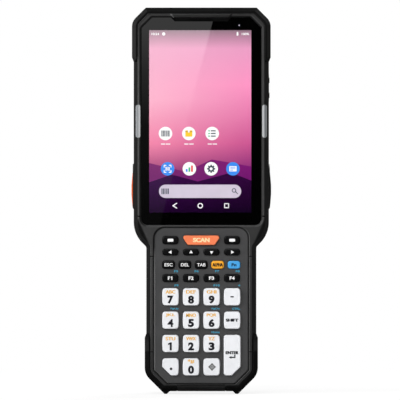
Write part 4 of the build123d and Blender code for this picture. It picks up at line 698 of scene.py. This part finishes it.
# %% Four joint lines
strip_front, strip_high = -16.41, 0.55
joint_black = ink("joint_black", grey(0.0015), 0.6, 0.02)
joints = []
for side in (-1, 1):
    for x, z, wide in ((28.1, 24.05, 1.6), (35.5, 101.1, 1.3)):
        strip = soft_box(side * x, z, wide, strip_high, 0.1, 3)
        joints.append((plate(strip, strip_front), joint_black))
join("rim_joints", joints, "frame")
print("joint lines:", len(joints))

# %% [markdown]
# ## The lit picture of the display
# A display shows a picture that is brighter than its surroundings, but a picture that gives off light
# would also shine on the glass round it. A flat-on studio view can't tell the two apart, so the picture is
# painted as a surface colour and keeps the gloss of the glass. Its ground is a gradient. One ramp goes up
# the picture and a second mixes in across it, so the left of the picture comes out lighter than the
# right.

# %% Gradient of the picture's ground
screen_left, screen_right, screen_low, screen_high = -29.65, 28.45, 103.3, 207.1


def lit_picture(name, left_stops, right_stops):
    finish, tree, shader, place = new_finish(name, Roughness=0.01, IOR=1.6, Specular_IOR_Level=1.0)
    spot = axes(tree, place)
    up = span(tree, spot["Z"], screen_low * mm, screen_high * mm)
    across = span(tree, spot["X"], screen_left * mm, screen_right * mm)
    paint(tree, shader, mix(tree, across, ramp(tree, up, left_stops), ramp(tree, up, right_stops)))
    return finish


picture_ground = lit_picture(
    "picture_ground",
    [(0.20, (0.24, 0.030, 0.145)), (0.38, (0.84, 0.225, 0.38)), (0.62, (0.90, 0.42, 0.56)),
     (0.90, (0.80, 0.385, 0.54)), (1.0, (0.30, 0.20, 0.24))],
    [(0.20, (0.150, 0.009, 0.150)), (0.38, (0.57, 0.090, 0.27)), (0.70, (0.93, 0.285, 0.52)),
     (0.90, (0.79, 0.325, 0.53)), (1.0, (0.27, 0.17, 0.22))])
picture_dusk = lit_picture(
    "picture_dusk", [(0.0, (0.012, 0.001, 0.021)), (0.30, (0.052, 0.007, 0.080))],
    [(0.0, (0.006, 0.001, 0.012)), (0.30, (0.038, 0.003, 0.052))])
picture_mauve = lit_picture(
    "picture_mauve", [(0.0, (0.11, 0.014, 0.12)), (0.35, (0.22, 0.03, 0.16))],
    [(0.0, (0.09, 0.007, 0.12)), (0.35, (0.22, 0.011, 0.17))])
print("picture of", screen_right - screen_left, "by", screen_high - screen_low, "mm")

# %% [markdown]
# ## Paint the picture
# The picture is stacked from thin plates, back to front: the ground, two slanted facets at its foot, then
# discs with signs for the jobs such a terminal does. A step of eight thousandths of a millimetre between
# layers is enough for a render to know which lies in front.

# %% Layers, films, ground and facets
first_layer, layer_step = 0.012, 0.008
glass_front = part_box("touch_window")[0].y / mm


def layer(step):
    return glass_front - first_layer - layer_step * step


def lay(points, step, tone, thick=0.006):
    """One flat shape of the picture, on its own layer."""
    return (plate(points, layer(step), thick), tone)


def film(name, tone):
    finish, tree, shader, place = new_finish(name, Roughness=0.01)
    paint(tree, shader, cloudy(tree, place, tone, 0.03, 6.0))
    return finish


film_white = film("film_white", grey(0.90))
film_pale = film("film_pale", (0.58, 0.52, 0.62, 1))
film_blue = film("film_blue", (0.05, 0.25, 0.80, 1))
film_green = film("film_green", (0.03, 0.42, 0.16, 1))
film_red = film("film_red", (0.75, 0.05, 0.05, 1))
film_yellow = film("film_yellow", (0.90, 0.55, 0.04, 1))
film_slate = film("film_slate", (0.05, 0.065, 0.09, 1))
l, r, b, t = screen_left, screen_right, screen_low, screen_high
ground = [lay([(l, b), (r, b), (r, t), (l, t)], 0, picture_ground, 0.01),
          lay([(l, b), (r, b), (r, 129.5), (6.0, 133.5), (-9.0, 126.5), (l, 131.5)], 1, picture_mauve),
          lay([(l, b), (r, b), (r, 121.5), (17.0, 126.0), (-2.0, 121.0), (-17.0, 125.0), (l, 120.5)], 2,
              picture_dusk)]
join("display_ground", ground, "frame")
print("ground layers:", len(ground))

# %% [markdown]
# ## Repeat a shape with Geometry Nodes
# Discs in a row, the strands of a gauze and ribs on a battery are all one shape set out in rows and
# columns. One node tree does it: a line of points, copied along a second line, with the seed shape placed
# on every point. Copies made this way are instances, which other programs drop, so the tree ends by making
# them real and giving them their finish. The helper then takes a plain mesh from the result.

# %% The row-and-column tree and its helper
repeat = bpy.data.node_groups.new("set out in rows and columns", "GeometryNodeTree")
repeat.interface.new_socket("Seed", in_out="INPUT", socket_type="NodeSocketGeometry")
inputs = {}
for label, kind in (("Rows", "Int"), ("Row step", "Vector"), ("Columns", "Int"),
                    ("Column step", "Vector"), ("Finish", "Material")):
    made = repeat.interface.new_socket(label, in_out="INPUT", socket_type="NodeSocket" + kind)
    inputs[label] = made.identifier
repeat.interface.new_socket("Set out", in_out="OUTPUT", socket_type="NodeSocketGeometry")
given = add(repeat, "NodeGroupInput").outputs
offset = {"mode": "OFFSET", "count_mode": "TOTAL"}
row = add(repeat, "GeometryNodeMeshLine", {"Count": given["Rows"], "Offset": given["Row step"]}, offset)
column = add(repeat, "GeometryNodeMeshLine",
             {"Count": given["Columns"], "Offset": given["Column step"]}, offset)
spread = add(repeat, "GeometryNodeInstanceOnPoints", {"Points": column.outputs[0],
                                                      "Instance": row.outputs[0]})
points = add(repeat, "GeometryNodeRealizeInstances", {"Geometry": spread.outputs[0]})
placed = add(repeat, "GeometryNodeInstanceOnPoints", {"Points": points.outputs[0],
                                                      "Instance": given["Seed"]})
real = add(repeat, "GeometryNodeRealizeInstances", {"Geometry": placed.outputs[0]})
finished = add(repeat, "GeometryNodeSetMaterial",
               {"Geometry": real.outputs[0], "Material": given["Finish"]})
add(repeat, "NodeGroupOutput", {"Set out": finished.outputs[0]})


def set_out(seed, finish, rows, row_step, columns=1, column_step=(0, 0, 0)):
    """A plain mesh: the seed mesh in rows and columns, steps in millimetres."""
    carrier = stand("carrier", seed)
    tool = carrier.modifiers.new("set out", "NODES")
    tool.node_group = repeat
    tool[inputs["Rows"]], tool[inputs["Columns"]] = rows, columns
    tool[inputs["Row step"]] = [v * mm for v in row_step]
    tool[inputs["Column step"]] = [v * mm for v in column_step]
    tool[inputs["Finish"]] = finish
    return taken(carrier)


print("tree inputs:", list(inputs))

# %% [markdown]
# ## Signs on the picture
# The picture shows what the tool is for: a barcode, a parcel, a list, a scan frame, a chart, a gear and a
# card, on white and blue discs. Under them are a bar for typed searches and three signs at the foot. They
# are plain shapes of our own. The discs come from the repeat tree and the signs are plates on top.

# %% Discs of the two rows
upper_z, lower_z, disc, bar_z, foot_z, status_z = 148.3, 128.2, 3.85, 115.4, 107.2, 204.95
upper_x, upper_step, lower_x, lower_step = -20.4, 13.3, -19.2, 12.4
parts = []
for x, z, finish, count, step in ((upper_x, upper_z, film_white, 3, upper_step),
                                  (lower_x, lower_z, film_blue, 2, 3 * lower_step),
                                  (lower_x + lower_step, lower_z, film_white, 2, lower_step)):
    seed, finish = lay(round_points(x, z, disc, 40), 3, finish)
    parts.append((set_out(seed, finish, count, (step, 0, 0)), finish))
parts.append(lay(soft_box(-0.7, bar_z, 46.8, 7.6, 3.79, 12), 3, film_pale))
join("display_discs", parts, "frame")
print("discs of", 2 * disc, "mm")


# %% Signs: barcode, parcel, list, frame, chart, gear and card
def bars(x, z, wide, high, tone, step=4):
    parts, at = [], x - wide / 2
    for share in (2, 1, 3, 1, 1, 2, 1, 3):
        broad = share * wide / 21
        parts.append(lay([(at, z - high / 2), (at + broad, z - high / 2), (at + broad, z + high / 2),
                          (at, z + high / 2)], step, tone))
        at += broad + wide / 21
    return parts


def tile(x, z, wide, high, tone, step=4, corner=0.25):
    return lay(soft_box(x, z, wide, high, corner, 3), step, tone)


def toothed(x, z, tone):
    rim = []
    for i in range(8):
        for share, reach in ((-0.32, 1.75), (-0.2, 2.35), (0.2, 2.35), (0.32, 1.75)):
            a = 2 * math.pi * (i + share) / 8
            rim.append((x + reach * math.cos(a), z + reach * math.sin(a)))
    return lay(rim, 4, tone)


signs = bars(upper_x, upper_z, 4.6, 3.4, film_slate)
x = upper_x + upper_step
signs += [tile(x, upper_z, 4.0, 3.6, film_yellow), tile(x, upper_z + 1.0, 4.0, 0.3, film_slate, 5, 0.1),
          tile(x, upper_z + 1.2, 1.0, 1.2, film_white, 6, 0.1)]
x = upper_x + 2 * upper_step
signs += [tile(x + 0.6, upper_z + dz, 2.8, 0.62, film_slate, 4, 0.2) for dz in (-1.5, 0, 1.5)]
signs += [tile(x - 1.8, upper_z + dz, 0.8, 0.8, film_green, 4, 0.2) for dz in (-1.5, 0, 1.5)]
x = lower_x
signs += [tile(x + dx * 1.45, lower_z + dz * 2.0, 1.5, 0.5, film_white, 4, 0.1)
          for dx in (-1, 1) for dz in (-1, 1)]
signs += [tile(x + dx * 1.95, lower_z + dz * 1.45, 0.5, 1.5, film_white, 5, 0.1)
          for dx in (-1, 1) for dz in (-1, 1)] + bars(x, lower_z, 2.4, 2.2, film_white, 6)
x = lower_x + lower_step
signs += [tile(x + dx, lower_z - 1.7 + high / 2, 1.0, high, tone, 4, 0.15)
          for dx, high, tone in ((-1.5, 1.6, film_blue), (0, 2.5, film_green), (1.5, 3.6, film_red))]
x = lower_x + 2 * lower_step
signs += [toothed(x, lower_z, film_slate), lay(round_points(x, lower_z, 0.85, 20), 5, film_white)]
x = lower_x + 3 * lower_step
signs.append(tile(x, lower_z, 4.2, 3.0, film_white))
signs += [tile(x + dx, lower_z + dz, wide, 0.35, film_blue, 5, 0.1)
          for dx, dz, wide in ((0, 0, 3.0), (0, 0.8, 3.0), (-0.7, -0.8, 1.6))]
join("display_signs", signs, "frame")
print("sign parts:", len(signs))


# %% Search bar, foot signs, captions and status line
notes = bars(-20.6, bar_z, 4.2, 3.2, film_slate)
notes += [(ring(18.6, 115.9, 1.25, 0.8, layer(4), 0.006, 28), film_slate),
          lay([(19.3, 115.0), (20.6, 113.7), (20.95, 114.05), (19.65, 115.35)], 4, film_slate),
          lay([(-14.0, 105.5), (-13.6, 105.9), (-15.6, foot_z), (-13.6, 108.5), (-14.0, 108.9),
               (-16.6, foot_z)], 3, film_white),
          (ring(-0.6, foot_z, 1.55, 1.0, layer(3), 0.006, 28), film_white)]
notes += [tile(14.4 + dx, foot_z + dz, w, h, film_white, 3, 0.1)
          for dx, dz, w, h in ((0, 1.15, 2.8, 0.5), (0, -1.15, 2.8, 0.5), (1.15, 0, 0.5, 2.3),
                               (-1.15, 0, 0.5, 2.3))]
notes += [tile(upper_x + i * upper_step + dx, upper_z - 6.0, w, 0.55, film_white, 3, 0.2)
          for i in range(3) for dx, w in ((-1.4, 2.4), (1.5, 2.6))]
notes += [(word("10:24", -28.4, status_z, 1.35, 4.4, layer(3), 0.03, 0.006, "LEFT"), film_white),
          (word("100%", 27.2, status_z, 1.3, 4.2, layer(3), 0.03, 0.006, "RIGHT"), film_white),
          tile(20.6, status_z, 1.0, 1.9, film_white, 3, 0.2),
          tile(20.6, status_z + 1.1, 0.5, 0.3, film_white, 3, 0.1),
          lay(round_points(-21.4, status_z, 0.95, 20), 3, film_white)]
join("display_notes", notes, "frame")
sensor_x, sensor_z = 21.6, 209.9
film_lens = film("film_lens", (0.006, 0.008, 0.012, 1))
lens = [lay(round_points(sensor_x, sensor_z, 0.95, 28), 0, film_lens, 0.008),
        lay(round_points(sensor_x, sensor_z, 0.34, 20), 1, film_pale, 0.008)]
join("light_sensor", lens, "frame")
print("picture finished")

# %% [markdown]
# ## Small things on the back
# The back carries things that are too fine for solids: a woven gauze in the loudspeaker slots, ribs that
# give the fingers hold on the battery, rings round the camera lens and a type plate. Gauze and ribs are
# one shape many times over, so the repeat tree sets them out. The rings and the type plate are thin films.
# The type plate has a frame, ruled lines and a bar but no words, as one that waits for its print.

# %% Loudspeaker gauze
speaker_z, slots, slot_step, strands, threads = 129.0, 5, (0, 0, 2.4), 31, 3
gauze_steel = metal("gauze_steel", grey(0.16), 0.4, size=0.2)
strand = plate(soft_box(-6.75, speaker_z - 4.8, 0.13, 1.5, 0.03, 2), 8.2, 0.12)
weft = plate(soft_box(0.0, speaker_z - 5.1, 14.2, 0.13, 0.03, 2), 8.26, 0.12)
gauze = [(set_out(strand, gauze_steel, slots, slot_step, strands, (0.45, 0, 0)), gauze_steel),
         (set_out(weft, gauze_steel, slots, slot_step, threads, (0, 0, 0.3)), gauze_steel)]
join("speaker_gauze", gauze, "frame")
print("gauze strands:", slots * (strands + threads))


# %% Ribs on the battery
def rib(side, z):
    """One low rib across the slanted flank of the battery."""
    along, out = Vector((-side * 0.616, 0.788, 0)), Vector((side * 0.788, 0.616, 0))
    middle = Vector((side * 25.0, 12.2, z))
    corners = []
    for end in (-1, 1):
        for wide, high, reach in ((-0.6, -0.1, 2.7), (0.6, -0.1, 2.7), (0.3, 0.32, 2.3), (-0.3, 0.32, 2.3)):
            spot = middle + along * end * reach + out * high + Vector((0, 0, wide))
            corners.append(tuple(v * mm for v in spot))
    faces = [(0, 1, 2, 3), (7, 6, 5, 4), (0, 4, 5, 1), (1, 5, 6, 2), (2, 6, 7, 3), (3, 7, 4, 0)]
    if side > 0:
        faces = [face[::-1] for face in faces]
    return meshed("rib", corners, faces)


rib_count, rib_step = 17, 2.6
ribs = [(set_out(rib(side, 33.0), battery_plastic, rib_count, (0, 0, rib_step)), battery_plastic)
        for side in (-1, 1)]
join("battery_ribs", ribs, "battery")
print("ribs on the battery:", rib_count * len(ribs))

# %% Type plate, camera rings and flash
label_satin = ink("label_satin", grey(0.30), 0.38)
label_line = ink("label_line", grey(0.03), 0.5)
label_z, label_back, label_thick = 71, 16.50, 0.06
label = [(plate(soft_box(0, label_z, 33.0, 25.0, 1.6), label_back, label_thick), label_satin)]
lines = [(0, dz, 30.6, 0.25, 0.1, 3) for dz in (-11.3, 11.3)]
lines += [(dx, 0, 0.25, 22.8, 0.1, 3) for dx in (-15.2, 15.2)]
lines += [(0, dz, 27.0, 0.16, 0.05, 3) for dz in (-7.0, -3.5, 0.0, 3.5)] + [(0, 7.4, 27.0, 3.4, 0.4, 4)]
for dx, dz, *rest in lines:
    label.append((plate(soft_box(dx, label_z + dz, *rest), label_back + label_thick, 0.015), label_line))
join("type_plate", label, "battery")
window_low, window_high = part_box("camera_window")
glass_back, camera_z = window_high.y / mm, (window_low.z + window_high.z) / 2 / mm
lens_blue = glassy("lens_coating", (0.012, 0.010, 0.035, 1), 0.02, 0.04, Coat_Weight=0.6)
flash_x = 6.6
flash_cream = glassy("flash_lens", (0.80, 0.72, 0.42, 1), 0.25, 0.1)
optics = [(ring(0, camera_z, 3.9, 3.35, glass_back, 0.05), screw_steel),
          (plate(round_points(0, camera_z, 2.5, 40), glass_back, 0.03), camera_glass),
          (plate(round_points(0, camera_z, 1.3, 32), glass_back + 0.03, 0.02), lens_blue),
          (ring(flash_x, camera_z, 1.9, 1.6, glass_back, 0.05, 28), screw_steel),
          (plate(round_points(flash_x, camera_z, 1.5, 28), glass_back, 0.04), flash_cream)]
join("camera_rings", optics, "frame")
print("type plate and camera rings ready")

# %% [markdown]
# ## Floor and background
# The object stands on a pale floor in front of plain white. Near the object the floor is lit in part, so
# that it takes a soft shadow. Between ten and forty centimetres away it melts into plain white, so that its
# far edge never shows. The world is white wherever the camera, a reflection or a clear part looks, and a
# softer grey where it lights the object, so a white background doesn't flood the part with light. In a
# reflection the floor is nearly black, as if a dark cloth lay just outside the view: a black case that
# mirrors a white table turns grey along every lower bevel.

# %% Floor and world
def seen_directly(tree):
    rays = add(tree, "ShaderNodeLightPath").outputs
    first = calc(tree, "MAXIMUM", rays["Is Camera Ray"], rays["Is Glossy Ray"])
    return calc(tree, "MAXIMUM", first, rays["Is Transmission Ray"])


def blend(tree, share, under, over):
    return fill(tree, add(tree, "ShaderNodeMixShader"), (share, under, over)).outputs[0]


floor_finish, tree, shader, place = new_finish("floor_paper", Roughness=0.9, Specular_IOR_Level=0.1,
                                               Base_Color=grey(0.90))
fade_from, fade_full, white_near = 0.10, 0.40, 0.80
reach = calc(tree, "LENGTH", place, kind="ShaderNodeVectorMath")
share = calc(tree, "MULTIPLY", span(tree, reach, fade_from, fade_full, white_near), seen_directly(tree))
white = add(tree, "ShaderNodeEmission", Color=grey(1.0), Strength=1.0).outputs[0]
mirrored = add(tree, "ShaderNodeEmission", Color=grey(0.10), Strength=1.0).outputs[0]
lit = blend(tree, share, shader.outputs[0], white)
paper = blend(tree, add(tree, "ShaderNodeLightPath").outputs["Is Glossy Ray"], lit, mirrored)
tree.links.new(paper, tree.nodes["Material Output"].inputs["Surface"])

floor_radius, floor_sides = 3000, 64
rim = [(a * mm, b * mm, 0) for a, b in round_points(0, 0, floor_radius, floor_sides)]
sheet = meshed("floor", rim, [list(range(floor_sides))])
sheet.materials.append(floor_finish)
floor = stand("floor", sheet)

world = bpy.data.worlds.new("studio")
bpy.context.scene.world = world
world.use_nodes = True
tree = world.node_tree
tree.nodes.clear()
tone = mix(tree, seen_directly(tree), grey(0.50), grey(1.0))
sky = add(tree, "ShaderNodeBackground", {"Color": tone}, Strength=1.0)
add(tree, "ShaderNodeOutputWorld", {"Surface": sky.outputs[0]})
print("floor and background ready")

# %% [markdown]
# ## Lamps and flags
# Dark, glossy things are lit by what they mirror. A large soft lamp from the upper left draws the light
# line on each bevel, one from above fills the front, and one behind on the right opens the back and the
# right flank, which the front doesn't see. Straight ahead stands a dark curved flag, as photographers use
# for black glass, so the front stays black. A slim white card beside the lens puts one slanted reflection
# on the left of the glass.

# %% Soft lamps
aim = Vector((0, 0, 0.11))


def soft_lamp(name, at, wide, high, watts):
    lamp = bpy.data.lights.new(name, "AREA")
    lamp.shape, lamp.size, lamp.size_y, lamp.energy = "RECTANGLE", wide, high, watts
    holder = stand(name, lamp)
    holder.location = at
    holder.rotation_euler = (aim - Vector(at)).to_track_quat("-Z", "Y").to_euler()


soft_lamp("lamp_upper_left", (-2.5, -1.15, 1.3), 1.2, 1.0, 60)
soft_lamp("lamp_top", (-0.5, -1.5, 2.5), 1.2, 0.8, 26)
soft_lamp("lamp_behind", (1.4, 2.1, 1.5), 1.4, 0.8, 44)


# %% Dark flag and white card
def card(name, corners, faces, glow_from=None, glow_full=None):
    """A board that only reflections see: black, or brighter from one height up to another."""
    finish, tree, glow, place = new_finish(name, "ShaderNodeEmission", Color=grey(0.0))
    if glow_full:
        share = span(tree, axes(tree, place)["Z"], glow_from, glow_full)
        light = ramp(tree, share, [(0.0, 0.05), (0.45, 0.12), (0.75, 0.45), (1.0, 1.0)])
        tree.links.new(light, glow.inputs["Color"])
    face = meshed(name, corners, faces)
    face.materials.append(finish)
    board = stand(name, face)
    board.visible_camera = board.visible_diffuse = board.visible_shadow = False
    board.visible_transmission = False


steps, flag_reach, half_turn = 24, 3.6, 130
tent = [(flag_reach * math.sin(a), -flag_reach * math.cos(a), h) for h in (-1.5, 2.6)
        for a in [math.radians(-half_turn + 2 * half_turn * i / steps) for i in range(steps + 1)]]
card("flag", tent, [(i, i + 1, i + steps + 2, i + steps + 1) for i in range(steps)])
slanted = [(-0.35, -0.3), (-0.1481, -0.3), (0.0857, 0.6), (-0.35, 0.6)]
card("card", [(x, -3.4, z) for x, z in slanted], [(0, 1, 2, 3)], 0.10, 0.32)
print("flag and card ready")

# %% [markdown]
# ## Camera
# A long lens from three metres shows the front nearly without perspective. The camera stands level with
# the middle of the object, so upright edges stay upright.

# %% Camera
eye = bpy.data.cameras.new("eye")
eye.lens, eye.sensor_width = 474.4, 36.0
camera = stand("eye", eye)
camera.location = (-0.00074, -3.0165, 0.11044)
camera.rotation_euler = (math.radians(90), 0, 0)
bpy.context.scene.camera = camera
bpy.context.scene.view_settings.view_transform = "Standard"
print("camera at", [round(v, 3) for v in camera.location])
